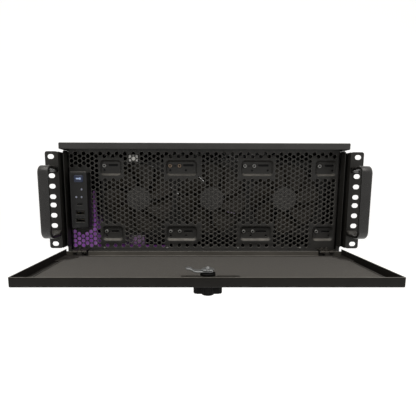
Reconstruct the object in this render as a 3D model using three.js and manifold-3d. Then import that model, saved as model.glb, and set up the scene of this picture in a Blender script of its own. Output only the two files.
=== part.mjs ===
// A 4U rack-mount computer chassis for a 19-inch rack: a sheet-steel body with
// rack ears and bow handles, a drop-down front door with a quarter-turn lock,
// a perforated front wall with three 120 mm fans, a front I/O module, and the
// board, supply and drives that it holds.
//
// Units are millimetres. +X is to the right seen from the front, +Y runs from
// the front to the rear, +Z is up. Pieces are laid out from the ears' front
// face (y = 0); the group is then moved by EAR_T so that the origin lies on the
// plane where the ears meet the rack rails, at the bottom of the 4U space.
import * as THREE from 'three';
import { mergeVertices } from 'three/addons/utils/BufferGeometryUtils.js';
import Module from 'manifold-3d';

const wasm = await Module();
wasm.setup();

// ---------------------------------------------------------------- dimensions
const SHEET = 1.2;            // body sheet thickness
const GAP = 0.3;              // clearance between neighbouring pieces

const EAR_HALF = 241.3;       // half of the 482.6 mm rack width
const EAR_T = 2.0;            // ear thickness
const EAR_Z0 = 15.1, EAR_Z1 = 163.4;
const SLOT_X = 232.55;        // half of the 465.1 mm hole spacing
const SLOT_Z = [22.225, 50.8, 66.675, 82.55, 95.25, 111.125, 127.0, 155.575];
const SLOT_W = 10.0, SLOT_H = 7.0;

const BODY_HALF = 221.2;      // half width of the body
const WALL_IN = 215.4;        // inner face of the front side walls
const FLOOR_Z = 0.8;          // underside of the floor
const SIDE_TOP = 166.9;       // top edge of the side walls
const FRONT_Y = 6.0;          // front edge of the front side walls
const STEP_Y = 20.0;          // where the side walls step out to full width
const REAR_Y = 468.0;         // outer face of the rear panel

const LID_HALF = 221.6, LID_TOP = 176.8, LIP_Z = 167.3, LIP_Y = 3.0;

const GRILLE_Y = 25.4;        // front face of the perforated wall
const POCKET_DEPTH = 4.6;     // depth of the fan mounting pockets
const FAN_X = [-107.6, 12.4, 132.4];
const FAN_Z = 91.0, FAN_SIZE = 120, FAN_DEPTH = 25, FAN_Y = 32.4;
const FAN_SCREW = 52.5;

const DOOR_HALF = 221.0, DOOR_Y0 = -153.4, DOOR_Y1 = 9.5;
const DOOR_Z0 = 0.3, DOOR_RIM_Z = 12.0;
const PIVOT_Y = 5.2, PIVOT_Z = 8.0;       // door hinge axis
const HINGE_X = [-197.3, 195.2];          // hinge centres
const LOCK_X = 0.5, LOCK_Y = -133.0;      // lock axis
const CAM_REACH = 26.0;

const HANDLE_X = 229.2, HANDLE_W = 15.3, HANDLE_T = 5.0;
const HANDLE_Z0 = 34.6, HANDLE_Z1 = 141.2, HANDLE_REACH = 38.0;

const IO_X0 = -207.9, IO_X1 = -181.7, IO_Z0 = 45.8, IO_Z1 = 133.6, IO_Y = 5.0;

// ------------------------------------------------------------------- helpers
function solid(geometry) {
  const g = geometry.index ? geometry.toNonIndexed() : geometry;
  const bare = new THREE.BufferGeometry();
  bare.setAttribute('position', g.getAttribute('position').clone());
  const m = mergeVertices(bare, 1e-4);
  return new wasm.Manifold(new wasm.Mesh({
    numProp: 3,
    vertProperties: new Float32Array(m.getAttribute('position').array),
    triVerts: new Uint32Array(m.index.array),
  }));
}
function geometryOf(manifold) {
  const mesh = manifold.getMesh();
  const g = new THREE.BufferGeometry();
  g.setAttribute('position', new THREE.BufferAttribute(new Float32Array(mesh.vertProperties), 3));
  g.setIndex(new THREE.BufferAttribute(new Uint32Array(mesh.triVerts), 1));
  const flat = g.toNonIndexed();
  flat.computeVertexNormals();
  return flat;
}
function box(x0, x1, y0, y1, z0, z1) {
  const g = new THREE.BoxGeometry(x1 - x0, y1 - y0, z1 - z0);
  g.translate((x0 + x1) / 2, (y0 + y1) / 2, (z0 + z1) / 2);
  return solid(g);
}
// cylinder along an axis from a to b, centred on (u, v) in the other two axes
function cyl(axis, a, b, u, v, r, seg = 20, r2 = r) {
  const g = new THREE.CylinderGeometry(r2, r, b - a, seg);   // along +Y
  if (axis === 'y') g.translate(u, (a + b) / 2, v);
  if (axis === 'z') { g.rotateX(Math.PI / 2); g.translate(u, v, (a + b) / 2); }
  if (axis === 'x') { g.rotateZ(-Math.PI / 2); g.translate((a + b) / 2, u, v); }
  return solid(g);
}
// extrude a 2-D outline; plane 'xz' runs along y, 'xy' along z, 'yz' along x
function extrude(points, plane, a, b, bevel = 0, holes = []) {
  const s = new THREE.Shape(points.map(([x, y]) => new THREE.Vector2(x, y)));
  for (const h of holes) s.holes.push(new THREE.Path(h.map(([x, y]) => new THREE.Vector2(x, y))));
  const opt = { depth: b - a - 2 * bevel, bevelEnabled: bevel > 0, bevelThickness: bevel,
    bevelSize: bevel, bevelOffset: -bevel, bevelSegments: 1, steps: 1 };
  const g = new THREE.ExtrudeGeometry(s, opt);
  g.translate(0, 0, a + bevel);
  const m = new THREE.Matrix4();
  if (plane === 'xz') m.set(1, 0, 0, 0, 0, 0, 1, 0, 0, 1, 0, 0, 0, 0, 0, 1);       // (x,z)->x,z ; depth->y
  if (plane === 'yz') m.set(0, 0, 1, 0, 1, 0, 0, 0, 0, 1, 0, 0, 0, 0, 0, 1);       // (y,z)->y,z ; depth->x
  if (plane !== 'xy') g.applyMatrix4(m);
  if (plane === 'xz') flip(g);
  return solid(g);
}
function flip(g) {
  const p = g.getAttribute('position').array;
  if (g.index) {
    const i = g.index.array;
    for (let k = 0; k < i.length; k += 3) { const t = i[k]; i[k] = i[k + 1]; i[k + 1] = t; }
  } else {
    for (let k = 0; k < p.length; k += 9) {
      for (let c = 0; c < 3; c++) { const t = p[k + c]; p[k + c] = p[k + 3 + c]; p[k + 3 + c] = t; }
    }
  }
}
function arc(cx, cy, r, a0, a1, n) {
  const out = [];
  for (let i = 0; i <= n; i++) {
    const a = (a0 + (a1 - a0) * i / n) * Math.PI / 180;
    out.push([cx + r * Math.cos(a), cy + r * Math.sin(a)]);
  }
  return out;
}
function rounded(x0, x1, y0, y1, r, n = 3) {
  return [...arc(x1 - r, y0 + r, r, -90, 0, n), ...arc(x1 - r, y1 - r, r, 0, 90, n),
    ...arc(x0 + r, y1 - r, r, 90, 180, n), ...arc(x0 + r, y0 + r, r, 180, 270, n)];
}
function obround(cx, cy, w, h, n = 4) {
  const r = h / 2;
  return [...arc(cx + w / 2 - r, cy, r, -90, 90, n), ...arc(cx - w / 2 + r, cy, r, 90, 270, n)];
}
const join = (...list) => list.flat().reduce((a, b) => a.add(b));
const cut = (a, ...list) => list.flat().reduce((s, b) => s.subtract(b), a);

const part = new THREE.Group();
const finish = {
  body: { color: 0x1d1c1a, roughness: 0.62, metalness: 0.35 },
  sheet: { color: 0x2b2926, roughness: 0.7, metalness: 0.2 },
  handle: { color: 0x232220, roughness: 0.5, metalness: 0.3 },
  plastic: { color: 0x101010, roughness: 0.45, metalness: 0.0 },
  fan: { color: 0x1a1918, roughness: 0.6, metalness: 0.0 },
  steel: { color: 0x9a9c9e, roughness: 0.32, metalness: 0.9 },
  filter: { color: 0x4a4640, roughness: 0.95, metalness: 0.0 },
  board: { color: 0x14201a, roughness: 0.55, metalness: 0.1 },
  alu: { color: 0x8b8d90, roughness: 0.4, metalness: 0.8 },
  glow: { color: 0x6a2f8a, roughness: 0.4, metalness: 0.0 },
  blue: { color: 0x2a5cff, roughness: 0.3, metalness: 0.0 },
};
function add(name, manifold, look) {
  const mesh = new THREE.Mesh(geometryOf(manifold), new THREE.MeshStandardMaterial(finish[look]));
  mesh.name = name;
  part.add(mesh);
  return mesh;
}

// ------------------------------------------------------------ body and floor
// One folded tray: floor, side walls that step in at the front so that the
// door's rims close round them, a sill under the grille, and board standoffs.
{
  const side = (s) => {
    const a = (x0, x1, ...r) => (s > 0 ? box(x0, x1, ...r) : box(-x1, -x0, ...r));
    return [
      a(BODY_HALF - SHEET, BODY_HALF, STEP_Y, REAR_Y - SHEET - GAP, FLOOR_Z, SIDE_TOP),
      a(WALL_IN, BODY_HALF, STEP_Y, STEP_Y + SHEET, FLOOR_Z, SIDE_TOP - 2.8),
      a(WALL_IN, WALL_IN + SHEET, FRONT_Y, STEP_Y + SHEET, 16.0, SIDE_TOP - 2.8),
      a(BODY_HALF - 14, BODY_HALF, 60, REAR_Y - 14, SIDE_TOP - SHEET, SIDE_TOP),
    ];
  };
  let tray = join(
    box(-BODY_HALF, BODY_HALF, 17, REAR_Y - SHEET - GAP, FLOOR_Z, FLOOR_Z + SHEET),
    box(-WALL_IN - 0.5, WALL_IN + 0.5, 17, 17 + SHEET, FLOOR_Z, 9.1),
    box(-WALL_IN - 0.5, WALL_IN + 0.5, 17, 24.8, 9.1 - SHEET, 9.1),
    side(1), side(-1),
  );
  const posts = [];
  for (const x of [-100, 30, 185]) for (const y of [230, 350, 450]) posts.push(cyl('z', FLOOR_Z + 0.4, 8.2, x, y, 3, 6));
  tray = join(tray, posts);
  // grip embosses along the side walls show as shallow steps
  for (const s of [-1, 1]) {
    for (const y of [95, 330]) {
      const w = s > 0 ? box(BODY_HALF - SHEET - 1.2, BODY_HALF - SHEET + 0.6, y, y + 60, 60, 80)
        : box(-BODY_HALF + SHEET - 0.6, -BODY_HALF + SHEET + 1.2, y, y + 60, 60, 80);
      tray = tray.add(w);
    }
  }
  add('base_tray', tray, 'body');
}

// top rail that the lock cam closes behind
add('top_rail', join(
  box(-WALL_IN + GAP, WALL_IN - GAP, 11.5, 28.0, 174.1, 175.3),
  box(-WALL_IN + GAP, WALL_IN - GAP, 11.5, 12.9, 168.6, 175.3),
), 'body');

// lid: flat top, front lip, side and rear flanges
add('top_cover', cut(
  box(-LID_HALF, LID_HALF, LIP_Y, REAR_Y, LIP_Z, LID_TOP),
  box(-LID_HALF + SHEET, LID_HALF - SHEET, LIP_Y + SHEET, REAR_Y - SHEET, LIP_Z - 5, LID_TOP - SHEET),
), 'body');

// rear panel with cut-outs for the supply, I/O, slots and fans
const PSU = { x0: -208, x1: -122, z0: 5, z1: 155, y0: 306 };
const SHIELD = { x0: -112, x1: 47, z0: 12, z1: 56.5 };
const SLOTS = { x0: 62, pitch: 20.32, n: 7, z0: 14, z1: 128 };
const RFAN = { x: [-70, 14], z: 112, s: 80, depth: 25 };
{
  let rear = box(-BODY_HALF + SHEET + GAP, BODY_HALF - SHEET - GAP, REAR_Y - SHEET, REAR_Y, FLOOR_Z, SIDE_TOP - 0.3);
  rear = join(rear, box(-BODY_HALF + SHEET + GAP, BODY_HALF - SHEET - GAP, REAR_Y - 12, REAR_Y, SIDE_TOP - SHEET - 0.3, SIDE_TOP - 0.3));
  rear = cut(rear, box(-BODY_HALF, -BODY_HALF + 14.5, 440, REAR_Y - SHEET - 0.01, 160, 170), box(BODY_HALF - 14.5, BODY_HALF, 440, REAR_Y - SHEET - 0.01, 160, 170));
  rear = cut(rear, box(PSU.x0 + 4, PSU.x1 - 4, 450, 480, PSU.z0 + 4, PSU.z1 - 4));
  rear = cut(rear, box(SHIELD.x0, SHIELD.x1, 450, 480, SHIELD.z0, SHIELD.z1));
  for (let i = 0; i < SLOTS.n; i++) {
    const x = SLOTS.x0 + (i + 0.5) * SLOTS.pitch;
    rear = rear.subtract(box(x - 6.4, x + 6.4, 450, 480, SLOTS.z0, SLOTS.z1));
  }
  for (const x of RFAN.x) rear = rear.subtract(cyl('y', 450, 480, x, RFAN.z, 37.5, 24));
  add('rear_panel', rear, 'body');
}

// ------------------------------------------------------------------- grille
const POCKETS = [[-167, -131.5], [-62.5, -11], [58, 110.6], [177, 213.4]];
const POCKET_Z = [[23, 47], [128.3, 153]];
const FAN_HOLES = [];
for (const fx of FAN_X) for (const sx of [-1, 1]) for (const sz of [-1, 1]) FAN_HOLES.push([fx + sx * FAN_SCREW, FAN_Z + sz * FAN_SCREW]);
{
  let g = box(-WALL_IN + GAP, WALL_IN - GAP, GRILLE_Y, GRILLE_Y + SHEET, 2.4, 173.8);
  for (const [x0, x1] of POCKETS) {
    for (const [z0, z1] of POCKET_Z) {
      const right = Math.min(x1, WALL_IN - GAP - 1.4);
      g = g.add(box(x0, right, GRILLE_Y, GRILLE_Y + POCKET_DEPTH + SHEET, z0, z1));
      g = g.subtract(box(x0 + 1.2, right - 1.2, GRILLE_Y - 1, GRILLE_Y + POCKET_DEPTH, z0 + 1.2, z1 - 1.2));
    }
  }
  const cuts = [];
  for (const fx of FAN_X) {
    for (const [i, j] of [[0, 0], [1, 0], [-1, 0], [2, 0], [-2, 0], [0.5, 1], [-0.5, 1], [1.5, 1], [-1.5, 1], [0.5, -1], [-0.5, -1], [1.5, -1], [-1.5, -1]]) {
      const c = cyl('y', GRILLE_Y - 2, GRILLE_Y + 4, fx + i * 22, FAN_Z + j * 19, 10.6, 6);
      cuts.push(c);
    }
  }
  for (const [x, z] of FAN_HOLES) cuts.push(cyl('y', GRILLE_Y - 2, GRILLE_Y + 10, x, z, 2.2, 6));
  g = cut(g, cuts);
  add('front_grille', g, 'sheet');
}

// -------------------------------------------------------------- fan and rotor
function fanFrame(cx, cz, y0, size, depth, seg = 28) {
  const h = size / 2, r = h - 2.2;
  let f = extrude(rounded(cx - h, cx + h, cz - h, cz + h, size * 0.06, 2), 'xz', y0, y0 + depth);
  f = f.subtract(cyl('y', y0 - 1, y0 + depth + 1, cx, cz, r, seg));
  // motor mount with four struts at the rear
  f = join(f, cyl('y', y0 + depth - 3.2, y0 + depth, cx, cz, size * 0.17, 16),
    box(cx - r - 1, cx + r + 1, y0 + depth - 3.2, y0 + depth, cz - 1.6, cz + 1.6),
    box(cx - 1.6, cx + 1.6, y0 + depth - 3.2, y0 + depth, cz - r - 1, cz + r + 1));
  const k = size * 0.4375;
  for (const sx of [-1, 1]) for (const sz of [-1, 1]) f = f.subtract(cyl('y', y0 - 1, y0 + depth + 1, cx + sx * k, cz + sz * k, 2.0, 6));
  return f;
}
function rotor(cx, cz, y0, size, depth, blades = 7) {
  const hub = size * 0.165, tip = size / 2 - 3.6, len = depth - 4.6;
  let r = cyl('y', y0 + 1.0, y0 + len, cx, cz, hub, 18);
  for (let i = 0; i < blades; i++) {
    const b = new THREE.BoxGeometry(tip - hub + 2, 1.6, size * 0.2);
    b.translate((tip + hub) / 2 - 1, 0, 0);
    b.rotateX(0.62);
    b.rotateY(-i * 2 * Math.PI / blades);
    b.translate(cx, y0 + 1.0 + (len - 1) / 2, cz);
    r = r.add(solid(b));
  }
  // trim to a clean swept disc
  return r.intersect(cyl('y', y0 + 1.0, y0 + len, cx, cz, tip, 28));
}
['left', 'middle', 'right'].forEach((n, i) => {
  add(`front_fan_frame_${n}`, fanFrame(FAN_X[i], FAN_Z, FAN_Y, FAN_SIZE - 0.4, FAN_DEPTH), 'fan');
  add(`front_fan_rotor_${n}`, rotor(FAN_X[i], FAN_Z, FAN_Y, FAN_SIZE, FAN_DEPTH), 'fan');
});
['left', 'right'].forEach((n, i) => {
  const y0 = REAR_Y - SHEET - GAP - RFAN.depth;
  add(`rear_fan_frame_${n}`, fanFrame(RFAN.x[i], RFAN.z, y0, RFAN.s, RFAN.depth, 24), 'fan');
  add(`rear_fan_rotor_${n}`, rotor(RFAN.x[i], RFAN.z, y0, RFAN.s, RFAN.depth, 5), 'fan');
});

// ------------------------------------------------------------ ears, handles
for (const s of [-1, 1]) {
  const n = s < 0 ? 'left' : 'right';
  const X = (x0, x1) => (s > 0 ? [x0, x1] : [-x1, -x0]);
  const [f0, f1] = X(BODY_HALF + 0.2, EAR_HALF);
  const slots = SLOT_Z.map((z) => obround(s * SLOT_X, z, SLOT_W, SLOT_H));
  let ear = extrude(rounded(f0, f1, EAR_Z0, EAR_Z1, 3.5, 2), 'xz', 0, EAR_T, 0, slots);
  ear = ear.add(box(...X(BODY_HALF + 0.2, BODY_HALF + 1.9), 0.2, 62, EAR_Z0, EAR_Z1));
  for (const z of [30, 89, 148]) ear = ear.subtract(cyl('x', ...X(BODY_HALF - 1, BODY_HALF + 3), 44, z, 2.2, 8));
  for (const z of [HANDLE_Z0 + 4, HANDLE_Z1 - 4]) ear = ear.subtract(cyl('y', -1, 4, s * HANDLE_X + s * 1.2, z, 2.1, 8));
  add(`rack_ear_${n}`, ear, 'body');

  // bow handle: flat bar bent into a U, thicker where the screws enter
  const y0 = -GAP, yo = -HANDLE_REACH, t = HANDLE_T, za = HANDLE_Z0, zb = HANDLE_Z1, R = 12, r = R - t;
  const outer = [[y0, za], ...arc(yo + R, za + R, R, -90, -180, 5), ...arc(yo + R, zb - R, R, 180, 90, 5), [y0, zb]];
  const inner = [[y0, zb - t - 4], [y0 - 5, zb - t - 3], [y0 - 10, zb - t], ...arc(yo + R, zb - R, r, 90, 180, 4),
    ...arc(yo + R, za + R, r, 180, 270, 4), [y0 - 10, za + t], [y0 - 5, za + t + 3], [y0, za + t + 4]];
  const pts = [...outer, ...inner];
  const hx = s * HANDLE_X;
  let h = extrude(pts.slice().reverse(), 'yz', hx - HANDLE_W / 2, hx + HANDLE_W / 2, 1.4);
  for (const z of [HANDLE_Z0 + 4, HANDLE_Z1 - 4]) h = h.subtract(cyl('y', -9, 1, hx + s * 1.2, z, 1.9, 8));
  add(`handle_${n}`, h, 'handle');
}

// --------------------------------------------------------------------- door
// shallow folded pan, shown lying open: sheet below, rims on all four sides
{
  const d = (x0, x1, y0, y1, z0, z1) => box(x0, x1, y0, y1, z0, z1);
  let pan = join(
    d(-DOOR_HALF, DOOR_HALF, DOOR_Y0, DOOR_Y1, DOOR_Z0, DOOR_Z0 + SHEET),
    d(-DOOR_HALF, -DOOR_HALF + SHEET, DOOR_Y0, DOOR_Y1, DOOR_Z0, DOOR_RIM_Z),
    d(DOOR_HALF - SHEET, DOOR_HALF, DOOR_Y0, DOOR_Y1, DOOR_Z0, DOOR_RIM_Z),
    d(-DOOR_HALF, DOOR_HALF, DOOR_Y0, DOOR_Y0 + SHEET, DOOR_Z0, DOOR_RIM_Z),
    d(-DOOR_HALF, -209.5, DOOR_Y1 - SHEET, DOOR_Y1, DOOR_Z0, 8.6),
    d(-185.0, 182.9, DOOR_Y1 - SHEET, DOOR_Y1, DOOR_Z0, 8.6),
    d(207.4, DOOR_HALF, DOOR_Y1 - SHEET, DOOR_Y1, DOOR_Z0, 8.6),
  );
  pan = pan.subtract(cyl('z', -1, 3, LOCK_X, LOCK_Y, 9.3, 20));
  // intake slots along the sheet
  for (let i = -3; i <= 3; i++) {
    if (i === 0) continue;
    pan = pan.subtract(extrude(obround(i * 55, -70, 40, 5, 3), 'xy', -1, 3));
  }
  add('door_panel', pan, 'body');

  // dust filter, notched at the hinge corners and round the lock
  const pts = [[-209, -150.6], [213, -150.6], [213, -36], [203.5, -32], [203.5, -9.5], [-196, -9.5], [-196, -32], [-209, -36]];
  let filter = extrude(pts, 'xy', 3.3, 4.8);
  filter = cut(filter, cyl('z', 2, 6, LOCK_X, LOCK_Y, 10.5, 20), box(LOCK_X - 10.5, LOCK_X + 10.5, -155, LOCK_Y, 2, 6));
  add('door_filter', filter, 'filter');
  add('lock_bracket', cut(box(-30.5, 37, -150.6, -138.9, 8.0, 10.4).add(box(-30.5, 37, -151.3, -150.3, 5.2, 10.4)),
    cyl('z', 4, 12, LOCK_X, LOCK_Y, 12.5, 20)), 'body');
}

// hinges: a fixed leaf on the sill, a door leaf, and the pin they share
HINGE_X.forEach((hx, i) => {
  const n = i ? 'right' : 'left';
  const R = 2.6, rp = 1.2;
  const bore = (a, b) => cyl('x', a, b, PIVOT_Y, PIVOT_Z, rp + 0.05, 12);
  const knuckle = (a, b) => cyl('x', a, b, PIVOT_Y, PIVOT_Z, R, 12);
  let leaf = join(box(hx - 10.4, hx + 10.4, 12.2, 24.6, 9.4, 10.6), box(hx - 10.4, hx - 3.8, PIVOT_Y, 13, 9.4, 10.6),
    box(hx + 3.8, hx + 10.4, PIVOT_Y, 13, 9.4, 10.6), knuckle(hx - 10.4, hx - 3.8), knuckle(hx + 3.8, hx + 10.4));
  leaf = cut(leaf, bore(hx - 12, hx + 12), cyl('z', 8, 12, hx - 5.4, 18, 1.6, 8), cyl('z', 8, 12, hx + 4.6, 18, 1.6, 8));
  add(`hinge_leaf_${n}`, leaf, 'body');
  let arm = join(knuckle(hx - 3.4, hx + 3.4), box(hx - 3.4, hx + 3.4, PIVOT_Y - R, PIVOT_Y - R + 1.2, 1.8, PIVOT_Z),
    box(hx - 10.4, hx + 10.4, -8.6, PIVOT_Y - R + 1.2, 1.8, 3.0));
  arm = arm.subtract(bore(hx - 12, hx + 12));
  add(`door_leaf_${n}`, arm, 'body');
  add(`hinge_pin_${n}`, cyl('x', hx - 10.8, hx + 10.8, PIVOT_Y, PIVOT_Z, rp, 12), 'steel');
});

// ---------------------------------------------------------------------- lock
add('lock_body', cut(join(
  cyl('z', -2.6, 0.0, LOCK_X, LOCK_Y, 12.0, 20),
  cyl('z', -2.6, 12.2, LOCK_X, LOCK_Y, 9.0, 20)),
cyl('z', -4, 14, LOCK_X, LOCK_Y, 2.8, 12)), 'plastic');
add('lock_knob', cut(join(
  cyl('z', -12.2, -2.9, LOCK_X, LOCK_Y, 7.6, 20),
  cyl('z', -13.9, -12.2, LOCK_X, LOCK_Y, 7.6, 20, 7.6),
  extrude(rounded(LOCK_X - 16.8, LOCK_X + 16.8, LOCK_Y - 4.4, LOCK_Y + 4.4, 3.2, 2), 'xy', -12.6, -2.9),
  cyl('z', -3, 14.8, LOCK_X, LOCK_Y, 2.5, 12)),
cyl('z', -15, -11.4, LOCK_X, LOCK_Y, 5.0, 16)), 'plastic');
add('lock_plug', cut(cyl('z', -13.5, -11.7, LOCK_X, LOCK_Y, 4.6, 16),
  box(LOCK_X - 0.6, LOCK_X + 0.6, LOCK_Y - 3, LOCK_Y + 3, -14, -12.4)), 'steel');
{
  const p = [[6, 12.6], [-16, 12.6], [-20, 16.1], [-CAM_REACH, 16.1], [-CAM_REACH, 18.1], [-19.2, 18.1], [-15.3, 14.6], [6, 14.6]]
    .map(([x, z]) => [LOCK_X + x, z]);
  const cam = extrude(p.slice().reverse(), 'xz', LOCK_Y - 5, LOCK_Y + 5);
  add('lock_cam', cam.subtract(cyl('z', 10, 20, LOCK_X, LOCK_Y, 2.8, 12)), 'steel');
}
{
  const star = [];
  for (let i = 0; i < 16; i++) {
    const a = i * Math.PI / 8, r = i % 2 ? 6.3 : 7.8;
    star.push([LOCK_X + r * Math.cos(a), LOCK_Y + r * Math.sin(a)]);
  }
  add('lock_nut', extrude(star, 'xy', 15.1, 16.6).add(cyl('z', 16.4, 18.6, LOCK_X, LOCK_Y, 3.4, 6)), 'steel');
}

// --------------------------------------------------------- front I/O module
{
  const cx = (IO_X0 + IO_X1) / 2;
  const IO = { btn: [cx + 0.6, 122.8], led: [[cx + 4.6, 106.4], [cx - 4.0, 94.5], [cx + 4.2, 94.5]], c: [cx + 0.9, 83.4], a: [[cx + 1.2, 70.4], [cx + 1.2, 58.8]] };
  let h = extrude(rounded(IO_X0, IO_X1, IO_Z0, IO_Z1, 2.2, 2), 'xz', IO_Y, GRILLE_Y - GAP);
  h = h.subtract(box(IO_X0 + 1.6, IO_X1 - 1.6, IO_Y + 2, GRILLE_Y + 1, IO_Z0 + 1.6, IO_Z1 - 1.6));
  h = h.subtract(extrude(rounded(IO.btn[0] - 7.1, IO.btn[0] + 7.1, IO.btn[1] - 5.6, IO.btn[1] + 5.6, 2.4, 2), 'xz', IO_Y - 1, IO_Y + 5));
  for (const [x, z] of IO.led) h = h.subtract(cyl('y', IO_Y - 1, IO_Y + 5, x, z, 1.5, 8));
  h = h.subtract(extrude(obround(IO.c[0], IO.c[1], 9.6, 3.8, 3), 'xz', IO_Y - 1, IO_Y + 5));
  for (const [x, z] of IO.a) h = h.subtract(box(x - 7.0, x + 7.0, IO_Y - 1, IO_Y + 5, z - 3.3, z + 3.3));
  add('io_housing', h, 'plastic');
  add('power_button', join(
    extrude(rounded(IO.btn[0] - 6.8, IO.btn[0] + 6.8, IO.btn[1] - 5.3, IO.btn[1] + 5.3, 2.2, 2), 'xz', IO_Y - 0.6, IO_Y + 6),
    cyl('y', IO_Y + 5, IO_Y + 14.6, IO.btn[0], IO.btn[1], 2.0, 8)), 'blue');
  add('io_light_pipe', join(IO.led.map(([x, z]) => cyl('y', IO_Y + 0.2, IO_Y + 9, x, z, 1.2, 8)),
    box(cx - 6.2, cx + 6.4, IO_Y + 7.4, IO_Y + 9, 92.4, 108.2)), 'blue');
  add('usb_c_socket', cut(extrude(obround(IO.c[0], IO.c[1], 9.0, 3.2, 3), 'xz', IO_Y + 0.3, IO_Y + 14),
    extrude(obround(IO.c[0], IO.c[1], 8.4, 2.6, 3), 'xz', IO_Y - 1, IO_Y + 10)), 'steel');
  IO.a.forEach(([x, z], i) => {
    add(i ? 'usb_a_socket_lower' : 'usb_a_socket_upper', join(cut(box(x - 6.6, x + 6.6, IO_Y + 0.3, IO_Y + 17, z - 2.95, z + 2.95),
      box(x - 6.25, x + 6.25, IO_Y - 1, IO_Y + 12, z - 2.6, z + 2.6)),
    box(x - 5.8, x + 5.8, IO_Y + 1.6, IO_Y + 13, z + 0.9, z + 2.1)), 'steel');
  });
  add('io_board', cut(box(IO_X0 + 2.2, IO_X1 - 2.2, IO_Y + 17.4, IO_Y + 19.0, IO_Z0 + 3, IO_Z1 - 3)), 'board');
}

// -------------------------------------------------- board, cooler and memory
const MB = { x0: -110, x1: 195, y0: 215, y1: 459, z: 8.5 };
add('motherboard', join(box(MB.x0, MB.x1, MB.y0, MB.y1, MB.z, MB.z + 1.6),
  box(-30, 22, 322, 374, 10, 13.4),
  box(SHIELD.x0 + 12, SHIELD.x1 - 12, 440, 464.5, 10, 50),
  box(90, 92.5, 300, 390, 10, 18)), 'board');
{
  const comb = [[-48, 14.0], [52, 14.0], [52, 20]];
  const n = 12;
  for (let i = 0; i < n; i++) {
    const x = 50 - i * 8.6;
    comb.push([x, 20], [x, 118], [x - 1.6, 118], [x - 1.6, 20]);
  }
  comb.push([-48, 20]);
  const clean = comb.filter((p, i) => i === 0 || p[0] !== comb[i - 1][0] || p[1] !== comb[i - 1][1]);
  add('cpu_heatsink', extrude(clean, 'xz', 324, 372), 'alu');
}
add('cpu_fan_frame', fanFrame(2, 70, 298, 92, 25, 24), 'fan');
add('cpu_fan_rotor', rotor(2, 70, 298, 92, 25, 7), 'fan');
[62, 71, 80].forEach((x, i) => add(`memory_module_${i + 1}`, join(box(x, x + 1.4, 240, 373, 10.6, 44), box(x - 1.5, x + 2.9, 242, 371, 16, 45)), 'glow'));

// expansion card with its bracket behind a slot
{
  const x = SLOTS.x0 + 2.5 * SLOTS.pitch;
  add('expansion_card', join(box(x - 0.8, x + 0.8, 262, 458, 19, 118), box(x - 26, x - 0.5, 268, 450, 24, 114),
    box(x - 0.5, x + 1.4, 456, 465.9, 19, 118), box(x - 8, x + 8, 465.0, 466.2, 16, 126)), 'fan');
}
add('slot_covers', (() => {
  let c = null;
  for (let i = 0; i < SLOTS.n; i++) {
    if (i === 2) continue;
    const x = SLOTS.x0 + (i + 0.5) * SLOTS.pitch;
    const b = box(x - 8, x + 8, 465.3, 466.4, SLOTS.z0 - 1.5, SLOTS.z1 + 4);
    c = c ? c.add(b) : b;
  }
  return c.add(box(SLOTS.x0, SLOTS.x0 + SLOTS.n * SLOTS.pitch, 455, 466.4, SLOTS.z1 + 3, SLOTS.z1 + 4.6));
})(), 'body');
add('rear_io_shield', (() => {
  let s = box(SHIELD.x0 + 0.3, SHIELD.x1 - 0.3, 465.3, 467.2, SHIELD.z0 + 0.3, SHIELD.z1 - 0.3);
  for (const [x0, x1, z0, z1] of [[-104, -90, 18, 32], [-84, -68, 16, 30], [-84, -68, 34, 48], [-60, -44, 16, 30], [-60, -44, 34, 50], [-36, -18, 16, 38], [-12, 4, 16, 30], [10, 40, 16, 28]]) {
    s = s.subtract(box(x0, x1, 460, 470, z0, z1));
  }
  return s;
})(), 'steel');

// -------------------------------------------------------------- power supply
{
  const { x0, x1, z0, z1, y0 } = PSU, y1 = REAR_Y - SHEET - GAP;
  const cx = (x0 + x1) / 2, fz = 104;
  let p = box(x0, x1, y0, y1, z0, z1);
  p = p.subtract(cyl('y', y1 - 26, y1 + 1, cx, fz, 38, 24));
  p = p.subtract(box(cx - 30, cx + 4, y1 - 24, y1 + 1, 18, 42));
  p = p.subtract(box(cx + 17, cx + 31, y1 - 11, y1 + 1, 21.4, 42.6));
  add('power_supply', p, 'body');
  add('psu_fan_rotor', rotor(cx, fz, y1 - 25, 74, 26, 7), 'fan');
  add('power_inlet', cut(box(cx - 29.7, cx + 3.7, y1 - 23.5, y1 - 0.2, 18.3, 41.7),
    box(cx - 25.4, cx - 0.6, y1 - 16, y1 + 1, 22, 38)), 'plastic');
  const rock = extrude([[y1 - 9.4, 32 - 3.2], [y1 - 1.0, 32 - 9.6], [y1 - 2.4, 32], [y1 + 0.2, 32 + 9.4], [y1 - 9.4, 32 + 3.2]].reverse(), 'yz', cx + 17.4, cx + 30.6);
  add('power_switch_rocker', rock, 'plastic');
}

// --------------------------------------------------------------- drive cage
{
  const x0 = -208, x1 = -101, y0 = 67, y1 = 213, z0 = 2.4, z1 = 66;
  add('drive_cage', cut(box(x0, x1, y0, y1, z0, z1), box(x0 + 1.2, x1 - 1.2, y0 - 1, y1 + 1, z0 + 1.2, z1 - 1.2),
    box(x0 + 20, x1 - 20, y0 + 20, y1 - 20, z0 - 2, z1 + 2)), 'body');
  add('drive_lower', box(x0 + 2.7, x1 - 2.7, y0 + 2, y1 - 2, 5.0, 31.1), 'alu');
  add('drive_upper', box(x0 + 2.7, x1 - 2.7, y0 + 2, y1 - 2, 36.0, 62.1), 'alu');
}
// light bar on the floor behind the left fan
add('light_bar', extrude([[58.6, 2.4], [65.4, 2.4], [65.4, 6], [63, 9], [58.6, 9]], 'yz', -205, -60), 'glow');

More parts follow.
